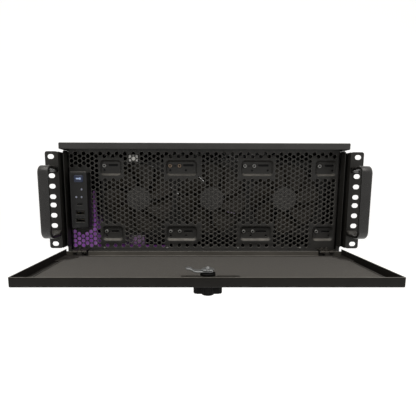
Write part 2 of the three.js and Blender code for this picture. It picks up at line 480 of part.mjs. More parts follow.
// thumbscrews that hold the lid
for (const [n, x] of [['left', -190], ['right', 190]]) {
  add(`thumbscrew_${n}`, join(cyl('y', REAR_Y + 1.5, REAR_Y + 8.5, x, 172.0, 4.6, 12), cyl('y', REAR_Y + GAP, REAR_Y + 2, x, 172.0, 3.4, 12)), 'steel');
}

part.position.set(0, -EAR_T, 0);
part.updateMatrixWorld(true);
export default part;
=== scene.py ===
# Looks of a four-unit rack-mount chassis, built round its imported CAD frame.
# Pieces are laid out in millimetres from the rack ears' front face and turned
# into metres of the frame when their meshes are made.
import math
import random

import bpy
import bmesh
from mathutils import Matrix, Vector
from mathutils.geometry import delaunay_2d_cdt


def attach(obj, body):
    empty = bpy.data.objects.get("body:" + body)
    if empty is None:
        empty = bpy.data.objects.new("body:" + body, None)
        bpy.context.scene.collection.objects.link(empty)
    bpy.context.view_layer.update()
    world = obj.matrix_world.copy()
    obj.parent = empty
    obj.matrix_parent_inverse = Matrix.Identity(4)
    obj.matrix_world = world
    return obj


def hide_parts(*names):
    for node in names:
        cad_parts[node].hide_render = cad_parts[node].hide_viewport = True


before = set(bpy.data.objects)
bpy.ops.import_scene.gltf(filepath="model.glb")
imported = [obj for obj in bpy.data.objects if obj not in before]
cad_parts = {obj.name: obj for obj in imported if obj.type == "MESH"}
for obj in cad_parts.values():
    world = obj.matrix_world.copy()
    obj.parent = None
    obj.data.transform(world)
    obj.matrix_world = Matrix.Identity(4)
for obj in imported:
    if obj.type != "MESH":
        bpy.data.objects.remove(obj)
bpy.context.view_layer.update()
random.seed(11)
scene = bpy.context.scene
EAR_T = 2.0
pi, sin, cos, rad = math.pi, math.sin, math.cos, math.radians


def at(x, y, z):
    return Vector((x / 1000, (y - EAR_T) / 1000, z / 1000))


# ------------------------------------------------------------------- camera
cam_data = bpy.data.cameras.new("camera")
cam = bpy.data.objects.new("camera", cam_data)
scene.collection.objects.link(cam)
pitch, yaw, roll = rad(7.93), rad(0.476), rad(0.142)
fwd = Vector((sin(yaw) * cos(pitch), cos(yaw) * cos(pitch), -sin(pitch)))
right = Vector((cos(yaw), -sin(yaw), 0))
up = right.cross(fwd)
r2 = right * cos(roll) + up * sin(roll)
u2 = -right * sin(roll) + up * cos(roll)
cm = Matrix((r2, u2, -fwd)).transposed().to_4x4()
cm.translation = at(-13.22, -504.279, 112.809)
cam.matrix_world = cm
cam_data.sensor_width = 36.0
cam_data.lens = 28.282
cam_data.shift_x = 0.02205
cam_data.shift_y = 0.0553
cam_data.clip_start, cam_data.clip_end = 0.01, 60.0
scene.camera = cam


# ------------------------------------------------------------ mesh building
class Shape:
    """Vertices in millimetres and faces with a material index."""

    def __init__(self):
        self.v, self.f, self.m = [], [], []

    def add(self, verts, faces, mat=0):
        o = len(self.v)
        self.v.extend(verts)
        self.f.extend([tuple(o + i for i in f) for f in faces])
        self.m.extend([mat] * len(faces))


def p3(plane, a, b, t):
    """z: (x, y) outline along z. y: (x, z) outline along y. x: (y, z) outline along x."""
    return (a, b, t) if plane == "z" else (a, t, b) if plane == "y" else (t, a, b)


def circ(cx, cy, r, n=24, ph=0.0):
    return [(cx + r * cos(ph + 2 * pi * i / n), cy + r * sin(ph + 2 * pi * i / n)) for i in range(n)]


def arc(cx, cy, r, a0, a1, n):
    return [(cx + r * cos(rad(a0 + (a1 - a0) * i / n)), cy + r * sin(rad(a0 + (a1 - a0) * i / n))) for i in range(n + 1)]


def rr(x0, x1, y0, y1, r, n=4):
    r = max(0.02, min(r, (x1 - x0) / 2 - 0.01, (y1 - y0) / 2 - 0.01))
    return (arc(x1 - r, y0 + r, r, -90, 0, n) + arc(x1 - r, y1 - r, r, 0, 90, n)
            + arc(x0 + r, y1 - r, r, 90, 180, n) + arc(x0 + r, y0 + r, r, 180, 270, n))


def obround(cx, cy, w, h, n=6):
    if w >= h:
        r = h / 2
        return arc(cx + w / 2 - r, cy, r, -90, 90, n) + arc(cx - w / 2 + r, cy, r, 90, 270, n)
    r = w / 2
    return arc(cx, cy + h / 2 - r, r, 0, 180, n) + arc(cx, cy - h / 2 + r, r, 180, 360, n)


def area(lp):
    return 0.5 * sum(lp[i][0] * lp[(i + 1) % len(lp)][1] - lp[(i + 1) % len(lp)][0] * lp[i][1] for i in range(len(lp)))


def offset(lp, d):
    """The outline moved inwards by d (outwards if d is negative), with mitred corners."""
    s = 1 if area(lp) > 0 else -1
    n, out = len(lp), []
    for i in range(n):
        (ax, ay), (bx, by), (cx, cy) = lp[i - 1], lp[i], lp[(i + 1) % n]
        d1, d2 = Vector((bx - ax, by - ay)), Vector((cx - bx, cy - by))
        if d1.length < 1e-9 or d2.length < 1e-9:
            out.append(lp[i])
            continue
        d1.normalize()
        d2.normalize()
        n1, n2 = Vector((-d1.y, d1.x)) * s, Vector((-d2.y, d2.x)) * s
        k = max(0.35, 1 + n1.dot(n2))
        out.append((bx + (n1.x + n2.x) / k * d, by + (n1.y + n2.y) / k * d))
    return out


def cdt(loops):
    """Triangles between the first outline and the others, which are holes in it."""
    pts, edges, owner = [], [], []
    for k, lp in enumerate(loops):
        o, n = len(pts), len(lp)
        pts += [Vector(p) for p in lp]
        owner += [k] * n
        edges += [(o + i, o + (i + 1) % n) for i in range(n)]
    r = delaunay_2d_cdt(pts, edges, [], 1, 1e-7)
    own = [owner[q[0]] if q else -1 for q in r[3]]
    tris = []
    for f in r[2]:
        k = own[f[0]]
        if k > 0 and all(own[i] == k for i in f):
            x, y = sum(r[0][i].x for i in f) / len(f), sum(r[0][i].y for i in f) / len(f)
            if inside(loops[k], x, y):
                continue
        tris.append(tuple(f))
    return [(p.x, p.y) for p in r[0]], tris


def inside(poly, x, y):
    c = False
    for i in range(len(poly)):
        (x1, y1), (x2, y2) = poly[i - 1], poly[i]
        if (y1 > y) != (y2 > y) and x < (x2 - x1) * (y - y1) / (y2 - y1) + x1:
            c = not c
    return c


def cap(S, plane, loops, t, mat=0):
    if len(loops) == 1:
        S.add([p3(plane, a, b, t) for a, b in loops[0]], [tuple(range(len(loops[0])))], mat)
        return
    pts, tris = cdt(loops)
    S.add([p3(plane, a, b, t) for a, b in pts], tris, mat)


def skin(S, plane, rings, mat=0, closed=False):
    """rings: [(outline, depth)] with equal point counts, joined by quads."""
    n = len(rings[0][0])
    verts = [p3(plane, a, b, t) for lp, t in rings for a, b in lp]
    k, faces = len(rings), []
    for r in range(k if closed else k - 1):
        q = (r + 1) % k
        for i in range(n):
            j = (i + 1) % n
            faces.append((r * n + i, r * n + j, q * n + j, q * n + i))
    S.add(verts, faces, mat)


def plate(S, plane, outer, t0, t1, holes=(), ch=0.25, mat=0, hole_ch=None, ends=(1, 1)):
    """A flat sheet with chamfered edges and through holes."""
    hc = ch if hole_ch is None else hole_ch
    c0, c1 = (ch if ends[0] else 0.0), (ch if ends[1] else 0.0)
    rings = [(offset(outer, c0), t0)] + ([(outer, t0 + c0)] if c0 else []) + ([(outer, t1 - c1)] if c1 else []) + [(offset(outer, c1), t1)]
    skin(S, plane, rings, mat)
    if hc:
        grown = [offset(h, -hc) for h in holes]
        for h, g in zip(holes, grown):
            skin(S, plane, [(g, t0), (h, t0 + hc), (h, t1 - hc), (g, t1)], mat)
    else:
        grown = list(holes)
        for h in holes:
            skin(S, plane, [(h, t0), (h, t1)], mat)
    cap(S, plane, [rings[0][0]] + grown, t0, mat)
    cap(S, plane, [rings[-1][0]] + grown, t1, mat)


def block(S, x0, x1, y0, y1, z0, z1, r=0.6, mat=0, n=2):
    """A box with all edges rounded."""
    r = min(r, (x1 - x0) / 2.2, (y1 - y0) / 2.2, (z1 - z0) / 2.2)
    k, rings = 3, []
    for i in range(k + 1):
        a = i / k * pi / 2
        rings.append((rr(x0 + r * (1 - sin(a)), x1 - r * (1 - sin(a)), y0 + r * (1 - sin(a)), y1 - r * (1 - sin(a)), max(r * sin(a), 0.03), n), z0 + r * (1 - cos(a))))
    for i in range(k + 1):
        a = pi / 2 - i / k * pi / 2
        rings.append((rr(x0 + r * (1 - sin(a)), x1 - r * (1 - sin(a)), y0 + r * (1 - sin(a)), y1 - r * (1 - sin(a)), max(r * sin(a), 0.03), n), z1 - r * (1 - cos(a))))
    skin(S, "z", rings, mat)
    cap(S, "z", [rings[0][0]], z0, mat)
    cap(S, "z", [rings[-1][0]], z1, mat)


def lathe(S, plane, u, v, prof, seg=24, mat=0, ph=0.0, closed=False):
    """prof: [(radius, depth)]; a radius of 0 ends on the axis, and other ends are capped."""
    if closed:
        skin(S, plane, [(circ(u, v, r, seg, ph), t) for r, t in prof], mat, True)
        return
    body = [(max(r, 0.0), t) for r, t in prof]
    inner = [q for q in body if q[0] > 1e-6]
    skin(S, plane, [(circ(u, v, r, seg, ph), t) for r, t in inner], mat)
    for end, first in ((body[0], inner[0]), (body[-1], inner[-1])):
        if end[0] <= 1e-6:
            ring = circ(u, v, first[0], seg, ph)
            S.add([p3(plane, a, b, first[1]) for a, b in ring] + [p3(plane, u, v, end[1])], [(i, (i + 1) % seg, seg) for i in range(seg)], mat)
        else:
            cap(S, plane, [circ(u, v, end[0], seg, ph)], end[1], mat)


def screw(S, plane, u, v, t, sgn, r=2.8, h=1.6, mat=0, kind="cross", seg=20, turn=0.35, flat=False):
    """A screw head standing sgn * h out from depth t, with a recess cut in it."""
    if kind == "cross":
        w, q = r * 0.13, r * 0.5
        rec = [(w, w), (w, q), (-w, q), (-w, w), (-q, w), (-q, -w), (-w, -w), (-w, -q), (w, -q), (w, -w), (q, -w), (q, w)]
    elif kind == "hex":
        rec = circ(0, 0, r * 0.48, 6)
    else:
        rec = [(r * (0.5 if i % 2 else 0.4) * cos(i * pi / 6), r * (0.5 if i % 2 else 0.4) * sin(i * pi / 6)) for i in range(12)]
    rec = [(u + a * cos(turn) - b * sin(turn), v + a * sin(turn) + b * cos(turn)) for a, b in rec]
    if flat:
        prof = [(r, 0.0), (r, h * 0.75), (r * 0.93, h)]
    else:
        prof = [(r, 0.0), (r, h * 0.35), (r * 0.96, h * 0.62), (r * 0.82, h * 0.87), (r * 0.66, h)]
    skin(S, plane, [(circ(u, v, a, seg), t + sgn * b) for a, b in prof], mat)
    cap(S, plane, [circ(u, v, r, seg)], t, mat)
    cap(S, plane, [circ(u, v, prof[-1][0], seg), rec], t + sgn * h, mat)
    skin(S, plane, [(rec, t + sgn * h), (rec, t + sgn * h * 0.35)], mat)
    cap(S, plane, [rec], t + sgn * h * 0.35, mat)


def tube(S, pts, r, seg=8, mat=0, closed=False):
    """A round wire through points given in millimetres."""
    P = [Vector(p) for p in pts]
    n, rings = len(P), []
    ref = Vector((0, 0, 1))
    t0 = (P[1] - P[0]).normalized()
    side = t0.cross(ref)
    if side.length < 1e-3:
        side = t0.cross(Vector((1, 0, 0)))
    side.normalize()
    for i in range(n):
        t = (P[(i + 1) % n] - P[i - 1]) if closed else (P[min(i + 1, n - 1)] - P[max(i - 1, 0)])
        t.normalize()
        side = (side - t * side.dot(t)).normalized()
        w = t.cross(side)
        rings.append([tuple(P[i] + side * (r * cos(2 * pi * k / seg)) + w * (r * sin(2 * pi * k / seg))) for k in range(seg)])
    verts = [p for ring in rings for p in ring]
    faces = []
    for i in range(n if closed else n - 1):
        q = (i + 1) % n
        for k in range(seg):
            j = (k + 1) % seg
            faces.append((i * seg + k, i * seg + j, q * seg + j, q * seg + k))
    if not closed:
        faces += [tuple(range(seg)), tuple((n - 1) * seg + k for k in range(seg))]
    S.add(verts, faces, mat)


def make(name, S, mats, body, replaces=(), smooth=32, merge=0.002):
    me = bpy.data.meshes.new(name)
    me.from_pydata([at(*p) for p in S.v], [], S.f)
    for m in mats:
        me.materials.append(m)
    me.polygons.foreach_set("material_index", S.m)
    bm = bmesh.new()
    bm.from_mesh(me)
    bmesh.ops.remove_doubles(bm, verts=bm.verts, dist=merge / 1000)
    bmesh.ops.dissolve_degenerate(bm, edges=bm.edges, dist=1e-7)
    bmesh.ops.delete(bm, geom=[e for e in bm.edges if not e.link_faces], context="EDGES")
    bmesh.ops.recalc_face_normals(bm, faces=bm.faces)
    for f in bm.faces:
        f.smooth = True
    lim = rad(smooth)
    for e in bm.edges:
        if len(e.link_faces) != 2 or e.calc_face_angle(0.0) > lim:
            e.smooth = False
    bm.to_mesh(me)
    bm.free()
    ob = bpy.data.objects.new(name, me)
    scene.collection.objects.link(ob)
    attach(ob, body)
    if replaces:
        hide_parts(*replaces)
    return ob


# ---------------------------------------------------------------- materials
def nodes_of(name):
    m = bpy.data.materials.new(name)
    m.use_nodes = True
    nt = m.node_tree
    nt.nodes.clear()
    out = nt.nodes.new("ShaderNodeOutputMaterial")
    b = nt.nodes.new("ShaderNodeBsdfPrincipled")
    nt.links.new(b.outputs[0], out.inputs[0])
    tc = nt.nodes.new("ShaderNodeTexCoord")
    return m, nt, b, tc


def noise(nt, tc, scale, detail=3.0, rough=0.55, stretch=None):
    n = nt.nodes.new("ShaderNodeTexNoise")
    n.inputs["Scale"].default_value = scale
    n.inputs["Detail"].default_value = detail
    n.inputs["Roughness"].default_value = rough
    if stretch:
        mp = nt.nodes.new("ShaderNodeMapping")
        mp.inputs["Scale"].default_value = stretch
        nt.links.new(tc.outputs["Object"], mp.inputs["Vector"])
        nt.links.new(mp.outputs[0], n.inputs["Vector"])
    else:
        nt.links.new(tc.outputs["Object"], n.inputs["Vector"])
    return n.outputs[0]


def remap(nt, src, a0, a1, b0, b1):
    r = nt.nodes.new("ShaderNodeMapRange")
    for k, x in zip(("From Min", "From Max", "To Min", "To Max"), (a0, a1, b0, b1)):
        r.inputs[k].default_value = x
    nt.links.new(src, r.inputs["Value"])
    return r.outputs[0]


def mixed(nt, fac, c0, c1):
    r = nt.nodes.new("ShaderNodeMix")
    r.data_type = "RGBA"
    nt.links.new(fac, r.inputs[0])
    for sock, c in ((r.inputs[6], c0), (r.inputs[7], c1)):
        if isinstance(c, tuple):
            sock.default_value = (*c, 1)
        else:
            nt.links.new(c, sock)
    return r.outputs[2]


def maths(nt, op, a, b=None):
    n = nt.nodes.new("ShaderNodeMath")
    n.operation = op
    for i, x in enumerate((a, b)):
        if x is None:
            continue
        if isinstance(x, (int, float)):
            n.inputs[i].default_value = x
        else:
            nt.links.new(x, n.inputs[i])
    return n.outputs[0]


def bump(nt, b, height, strength, dist):
    n = nt.nodes.new("ShaderNodeBump")
    n.inputs["Strength"].default_value = strength
    n.inputs["Distance"].default_value = dist
    nt.links.new(height, n.inputs["Height"])
    nt.links.new(n.outputs[0], b.inputs["Normal"])


def coated(name, base, rough=0.55, metal=0.0, spec=0.35, grain=1100.0, depth=0.00012, strength=0.35, var=0.22, dust_and_top_light=0.0, dust_and_top_light_color=(0.12, 0.11, 0.10), stretch=None):
    """Painted or moulded surface: fine orange-peel grain, cloudy colour and gloss, and a lighter colour on what faces
    up, which is light dust on some parts and a painted top light (painted highlight) on others.
    """
    m, nt, b, tc = nodes_of(name)
    fine = noise(nt, tc, grain, 2.0, 0.6, stretch)
    cloud = noise(nt, tc, 16.0, 4.0, 0.6)
    dark = tuple(c * (1 - var) for c in base)
    light = tuple(min(1, c * (1 + var)) for c in base)
    col = mixed(nt, remap(nt, cloud, 0.3, 0.7, 0, 1), dark, light)
    speck = remap(nt, fine, 0.52, 0.75, 0.0, 0.5)
    col = mixed(nt, speck, col, tuple(min(1, c * 1.45) for c in base))
    # what faces up is mixed toward the lighter colour: light dust where the amount is small, a painted top light where
    # it is strong
    if dust_and_top_light > 0:
        g = nt.nodes.new("ShaderNodeNewGeometry")
        sx = nt.nodes.new("ShaderNodeSeparateXYZ")
        nt.links.new(g.outputs["Normal"], sx.inputs[0])
        top_light_and_dust_mask = remap(nt, sx.outputs[2], 0.35, 0.9, 0.0, dust_and_top_light)
        patch = remap(nt, noise(nt, tc, 55.0, 5.0, 0.65), 0.35, 0.75, 0.35, 1.0)
        col = mixed(nt, maths(nt, "MULTIPLY", top_light_and_dust_mask, patch), col, dust_and_top_light_color)
    nt.links.new(col, b.inputs["Base Color"])
    rg = remap(nt, noise(nt, tc, 60.0, 4.0, 0.6), 0.3, 0.7, rough - 0.07, rough + 0.07)
    nt.links.new(rg, b.inputs["Roughness"])
    b.inputs["Metallic"].default_value = metal
    b.inputs["Specular IOR Level"].default_value = spec
    bump(nt, b, fine, strength, depth)
    return m


def metal(name, base, rough=0.32, stretch=(1, 1, 1), scale=220.0, var=0.18, strength=0.25):
    """Bare or plated metal: rolled streaks, patchy oxide, uneven gloss."""
    m, nt, b, tc = nodes_of(name)
    streak = noise(nt, tc, scale, 4.0, 0.6, stretch)
    patch = noise(nt, tc, 70.0, 5.0, 0.6)
    col = mixed(nt, remap(nt, patch, 0.3, 0.72, 0, 1), tuple(c * (1 - var) for c in base), base)
    col = mixed(nt, remap(nt, streak, 0.5, 0.8, 0, 0.6), col, tuple(min(1, c * 1.2) for c in base))
    nt.links.new(col, b.inputs["Base Color"])
    nt.links.new(remap(nt, streak, 0.25, 0.75, rough - 0.08, rough + 0.1), b.inputs["Roughness"])
    b.inputs["Metallic"].default_value = 1.0
    bump(nt, b, streak, strength, 0.00006)
    return m


def glowing(name, base, glow, power, rough=0.35):
    m, nt, b, tc = nodes_of(name)
    cloud = noise(nt, tc, 90.0, 3.0, 0.5)
    nt.links.new(mixed(nt, remap(nt, cloud, 0.3, 0.7, 0, 1), tuple(c * 0.75 for c in base), base), b.inputs["Base Color"])
    nt.links.new(remap(nt, cloud, 0.3, 0.7, rough - 0.08, rough + 0.08), b.inputs["Roughness"])
    b.inputs["Emission Color"].default_value = (*glow, 1)
    nt.links.new(remap(nt, cloud, 0.2, 0.8, power * 0.6, power * 1.3), b.inputs["Emission Strength"])
    bump(nt, b, noise(nt, tc, 600.0, 2.0), 0.15, 0.0001)
    return m


def woven(name, dark, light, pitch):
    """Fine square mesh: threads in both directions, darker between them."""
    m, nt, b, tc = nodes_of(name)
    sx = nt.nodes.new("ShaderNodeSeparateXYZ")
    warp = nt.nodes.new("ShaderNodeVectorMath")
    warp.operation = "MULTIPLY_ADD"
    nz = nt.nodes.new("ShaderNodeTexNoise")
    nz.inputs["Scale"].default_value = 40.0
    nt.links.new(tc.outputs["Object"], nz.inputs["Vector"])
    nt.links.new(nz.outputs[1], warp.inputs[0])
    warp.inputs[1].default_value = (0.0006, 0.0006, 0)
    nt.links.new(tc.outputs["Object"], warp.inputs[2])
    nt.links.new(warp.outputs[0], sx.inputs[0])
    k = 2 * pi / pitch
    wx = maths(nt, "SINE", maths(nt, "MULTIPLY", sx.outputs[0], k))
    wy = maths(nt, "SINE", maths(nt, "MULTIPLY", sx.outputs[1], k))
    thread = maths(nt, "MAXIMUM", maths(nt, "ABSOLUTE", wx), maths(nt, "ABSOLUTE", wy))
    over = maths(nt, "MULTIPLY", wx, wy)
    cloud = noise(nt, tc, 22.0, 5.0, 0.6)
    fibre = noise(nt, tc, 1500.0, 2.0, 0.6)
    col = mixed(nt, remap(nt, thread, 0.55, 0.95, 0, 1), dark, light)
    col = mixed(nt, remap(nt, cloud, 0.3, 0.7, 0.0, 0.35), col, tuple(c * 0.72 for c in light))
    nt.links.new(col, b.inputs["Base Color"])
    nt.links.new(remap(nt, fibre, 0.3, 0.7, 0.7, 0.92), b.inputs["Roughness"])
    b.inputs["Specular IOR Level"].default_value = 0.2
    b.inputs["Sheen Weight"].default_value = 0.15
    b.inputs["Sheen Roughness"].default_value = 0.5
    h = maths(nt, "ADD", maths(nt, "MULTIPLY", thread, 0.7), maths(nt, "MULTIPLY", over, 0.3))
    bump(nt, b, maths(nt, "ADD", h, maths(nt, "MULTIPLY", fibre, 0.25)), 0.6, 0.00022)
    return m


def circuit(name, base, line):
    """Solder-masked board: fine routed lines under a glossy mask."""
    m, nt, b, tc = nodes_of(name)
    br = nt.nodes.new("ShaderNodeTexVoronoi")
    br.distance = "MANHATTAN"
    br.feature = "F1"
    br.inputs["Scale"].default_value = 240.0
    nt.links.new(tc.outputs["Object"], br.inputs["Vector"])
    lines = remap(nt, br.outputs["Distance"], 0.42, 0.5, 0, 1)
    cloud = noise(nt, tc, 30.0, 4.0)
    col = mixed(nt, lines, base, line)
    col = mixed(nt, remap(nt, cloud, 0.35, 0.7, 0, 0.5), col, tuple(c * 0.6 for c in base))
    nt.links.new(col, b.inputs["Base Color"])
    nt.links.new(remap(nt, cloud, 0.3, 0.7, 0.3, 0.5), b.inputs["Roughness"])
    bump(nt, b, lines, 0.3, 0.0001)
    return m


# On the front sheet, the door, the hole edges, the door edges, the handles and the moulded plastic the up-facing colour
# is strong: a painted top light, a painted highlight on lips, rims and tops; on the body and lid it is light dust.
BODY = coated("powder_coat_body", (0.0165, 0.0155, 0.0135), 0.52, spec=0.32, dust_and_top_light=0.10)
# the door gets a darker copy of the black powder coat: painted shade
DOOR_SHADED_COAT = coated("powder_coat_door_painted_shade", (0.0088, 0.0078, 0.0064), 0.55, spec=0.18, dust_and_top_light=0.42, dust_and_top_light_color=(0.085, 0.078, 0.068))
SHEETM = coated("powder_coat_front", (0.0235, 0.0222, 0.0200), 0.5, spec=0.40, dust_and_top_light=1.0, dust_and_top_light_color=(0.34, 0.32, 0.285))
# lighter copy of the front coat for the chamfers round the grille holes: a painted highlight on the hole edges
HOLE_EDGE_HIGHLIGHT = coated("powder_coat_hole_edge_painted_highlight", (0.115, 0.109, 0.098), 0.45, spec=0.45, dust_and_top_light=0.6, dust_and_top_light_color=(0.20, 0.19, 0.17))
# lighter copy of the door coat for the flange, the beads and the rim tops: a painted highlight
DOOR_EDGE_HIGHLIGHT = coated("powder_coat_door_edge_painted_highlight", (0.088, 0.081, 0.069), 0.42, spec=0.45, dust_and_top_light=1.0, dust_and_top_light_color=(0.24, 0.225, 0.195))
# the lid gets a lighter copy of the black powder coat: painted light
LID_LIT_COAT = coated("powder_coat_lid_painted_light", (0.030, 0.0285, 0.0272), 0.5, spec=0.36, dust_and_top_light=0.06)
HANDLE = coated("powder_coat_handle", (0.0125, 0.0118, 0.0108), 0.27, spec=0.62, grain=900, depth=0.00006, dust_and_top_light=0.9, dust_and_top_light_color=(0.085, 0.08, 0.072))
PLASTIC = coated("moulded_plastic", (0.0085, 0.0084, 0.0082), 0.36, spec=0.4, grain=1700, depth=0.00008, var=0.12, dust_and_top_light=1.0, dust_and_top_light_color=(0.15, 0.145, 0.135))
LOCKP = coated("lock_plastic", (0.0034, 0.0030, 0.0027), 0.5, spec=0.12, grain=1500, depth=0.00008, var=0.15)
FANP = coated("fan_plastic", (0.020, 0.019, 0.0175), 0.5, spec=0.35, grain=1300, depth=0.00008, var=0.18)
BLADE = coated("fan_blade", (0.036, 0.030, 0.022), 0.45, spec=0.35, grain=1000, depth=0.00008, var=0.2)
HUBM = coated("fan_hub", (0.095, 0.092, 0.088), 0.62, spec=0.25, grain=300, depth=0.00003, strength=0.1, var=0.06)
# near-black material for recess bottoms and what sits behind holes: painted shade
SHADE_BLACK = coated("painted_shade_black", (0.006, 0.006, 0.006), 0.7, spec=0.2, var=0.2)

STEEL = metal("plated_steel", (0.40, 0.40, 0.385), 0.38)
CAMM = metal("cam_steel", (0.40, 0.41, 0.41), 0.5, stretch=(1, 8, 1))
BRONZE = metal("screw_bronze", (0.36, 0.27, 0.20), 0.42, var=0.25)
ALU = metal("bare_aluminium", (0.58, 0.59, 0.60), 0.3, stretch=(8, 1, 1))
GOLD = metal("contact_gold", (0.72, 0.52, 0.22), 0.25)
FILTER = woven("filter_mesh", (0.030, 0.027, 0.022), (0.078, 0.071, 0.060), 0.00115)
FRAMEM = coated("filter_frame", (0.040, 0.037, 0.033), 0.6, spec=0.3, grain=1500)
HINGE = metal("hinge_zinc", (0.105, 0.098, 0.088), 0.58, var=0.25)
PCB = circuit("board_mask", (0.006, 0.016, 0.011), (0.016, 0.040, 0.026))
CHIP = coated("chip_epoxy", (0.012, 0.012, 0.013), 0.5, spec=0.35, grain=2200, depth=0.00005)
PORT = coated("port_plastic", (0.010, 0.012, 0.016), 0.4, spec=0.4, grain=1600)
BTN = glowing("button_light", (0.014, 0.017, 0.028), (0.10, 0.18, 0.55), 0.05)
BTNW = glowing("button_mark", (0.2, 0.24, 0.34), (0.52, 0.66, 0.95), 0.42)
PIPE = glowing("pipe_light", (0.26, 0.27, 0.33), (0.35, 0.38, 0.55), 0.10)
# the white nylon glows by itself: painted light
NYLON_PAINTED_GLOW = glowing("white_nylon_painted_glow", (0.62, 0.61, 0.57), (1.0, 0.98, 0.93), 0.16, 0.45)
PURPLE = glowing("bar_light", (0.20, 0.05, 0.26), (0.36, 0.09, 0.50), 0.10)
MEMGLOW = glowing("memory_light", (0.3, 0.28, 0.33), (0.7, 0.55, 0.85), 0.16)

# -------------------------------------------------------------- front grille
GY, SH = 25.4, 1.2
PITCH_Z, PITCH_X, HX0, HZ0, HOLE_R = 7.554, 6.542, 96.4, 94.47, 3.1
POCKETS = [(-167, -131.5), (-62.5, -11), (58, 110.6), (177, 212.6)]
POCKET_Z = [(23, 47), (128.3, 153)]
FAN_X, FAN_Z = (-107.6, 12.4, 132.4), 91.0
EXCLUDE = [[(-214, 139.0), (-197, 142.5), (-184, 139.5), (-179.6, 134.0), (-179.6, 50.0), (-183.5, 45.5), (-196, 35.5), (-208, 42.5), (-214, 43.5)],
           [(173.5, 9.0), (215, 9.0), (215, 50.0), (173.5, 50.0)]]


def rect_gap(x, z, x0, x1, z0, z1):
    return math.hypot(max(x0 - x, 0, x - x1), max(z0 - z, 0, z - z1))


holes = []
for i in range(-50, 20):
    for j in range(-12, 11):
        x = HX0 + i * PITCH_X
        z = HZ0 + (j + (0.5 if i % 2 else 0.0)) * PITCH_Z
        if not (-211.5 < x < 211.2 and 14.8 < z < 165.6):
            continue
        if any(rect_gap(x, z, a, b, c, d) < HOLE_R + 1.2 for a, b in POCKETS for c, d in POCKET_Z):
            continue
        if any(inside(p, x, z) for p in EXCLUDE):
            continue
        holes.append((x, z))

S = Shape()
outer = rr(-215.1, 215.1, 2.4, 173.8, 1.5, 3)
front_loops, back_loops = [offset(outer, 0.3)], [offset(outer, 0.3)]
skin(S, "y", [(offset(outer, 0.3), GY), (outer, GY + 0.3), (outer, GY + SH - 0.3), (offset(outer, 0.3), GY + SH)])
for x, z in holes:
    big, small = circ(x, z, HOLE_R + 0.42, 12), circ(x, z, HOLE_R, 12)
    # the chamfer round each hole is in the lighter copy: a painted highlight
    skin(S, "y", [(big, GY), (circ(x, z, HOLE_R + 0.16, 12), GY + 0.12), (small, GY + 0.45)], 4)
    skin(S, "y", [(small, GY + 0.45), (small, GY + SH)])
    front_loops.append(big)
    back_loops.append(small)
for pi_, (x0, x1) in enumerate(POCKETS):
    for row, (z0, z1) in enumerate(POCKET_Z):
        R0 = 6.2
        prof = [(0.0, 0.0), (0.4, 0.08), (0.9, 0.42), (1.35, 0.9), (3.5, 3.85), (3.9, 4.25), (4.3, 4.5), (4.7, 4.6)]
        fr = [(rr(x0 + d * 0.8, x1 - d * 0.8, z0 + d * 0.95 - 0.6, z1 - d * 0.7, R0 - d * 0.42, 6), GY + t) for d, t in prof]
        bk = [(rr(x0 + d * 0.8 - 0.5, x1 - d * 0.8 + 0.5, z0 + d * 0.95 - 1.1, z1 - d * 0.7 + 0.5, R0 - d * 0.42 + 0.5, 6), GY + t + SH) for d, t in prof]
        skin(S, "y", fr)
        skin(S, "y", bk)
        front_loops.append(fr[0][0])
        back_loops.append(bk[0][0])
        subs = []
        zc = 143.9 if row else 38.0
        sx0 = (-160.1, -55.1, 64.9, 184.9)[pi_]
        screws = [sx0] if pi_ in (0, 3) else [sx0, sx0 + 15.0]
        slots = [((-157.0, -138.2), (-34.4, -17.3), (86.1, 103.8), (193.8, 208.6)), ((-155.2, -139.6), (-33.7, -18.6), (85.1, 102.8), (193.4, 208.2))][1 - row][pi_]
        sz = 144.9 if row else 37.8
        subs.append(obround((slots[0] + slots[1]) / 2 + (0.8 if pi_ == 0 else 0), sz, slots[1] - slots[0] - (2.0 if pi_ == 0 else 0), 3.4, 5))
        hz = 137.0 if row else 30.9
        for hx in {0: [sx0 - 0.4], 1: [sx0 + 0.2, -29.8], 2: [sx0 + 12.0, 102.0], 3: [206.6]}[pi_]:
            subs.append(circ(hx, hz, 1.75, 10))
        if pi_ in (1, 2):
            for k in (-1, 0, 1):
                subs.append(obround(sx0 + 7.5 + k * 1.5, zc, 0.7, 3.0, 3))
        else:
            subs.append(obround(sx0 + 4.9, zc, 0.7, 3.0, 3))
        cap(S, "y", [fr[-1][0]] + subs, GY + 4.6)
        cap(S, "y", [bk[-1][0]] + subs, GY + 4.6 + SH)
        for s in subs:
            skin(S, "y", [(s, GY + 4.6), (s, GY + 4.6 + SH)])
        # rubber pad between the pocket and the fan frame, in near-black painted shade that keeps the pocket's holes
        # dark
        block(S, x0 + 5, x1 - 5, GY + 6.0, GY + 6.7, z0 + 4, z1 - 3, 0.25, 3)
        for k, xs in enumerate(screws):
            m = 2 if row and pi_ == 1 else 1
            # collared fan screw: washer, dome with a hex recess
            lathe(S, "y", xs, zc, [(3.3, GY + 4.6), (3.3, GY + 4.1), (3.05, GY + 3.8), (0, GY + 3.8)], 20, 0)
            lathe(S, "y", xs, zc, [(2.9, GY + 4.0), (2.9, GY + 2.5), (2.5, GY + 2.1), (1.75, GY + 2.0), (1.55, GY + 2.3), (1.5, GY + 3.4), (0, GY + 3.5)], 20, m)
            # near-black cone at the bottom of the recess: painted shade
            lathe(S, "y", xs, zc, [(1.5, GY + 3.38), (0, GY + 3.3)], 6, 3)
cap(S, "y", front_loops, GY)
cap(S, "y", back_loops, GY + SH)
# small screws along the lower edge
for x, z in ((-163.6, 11.0), (-60.6, 11.0), (55.9, 11.0), (158.5, 11.0)):
    screw(S, "y", x, z, GY, -1, 1.6, 0.9, 1, "cross", 12, 0.5)
make("front_grille_punched", S, [SHEETM, STEEL, BRONZE, SHADE_BLACK, HOLE_EDGE_HIGHLIGHT], "chassis", ["front_grille"])

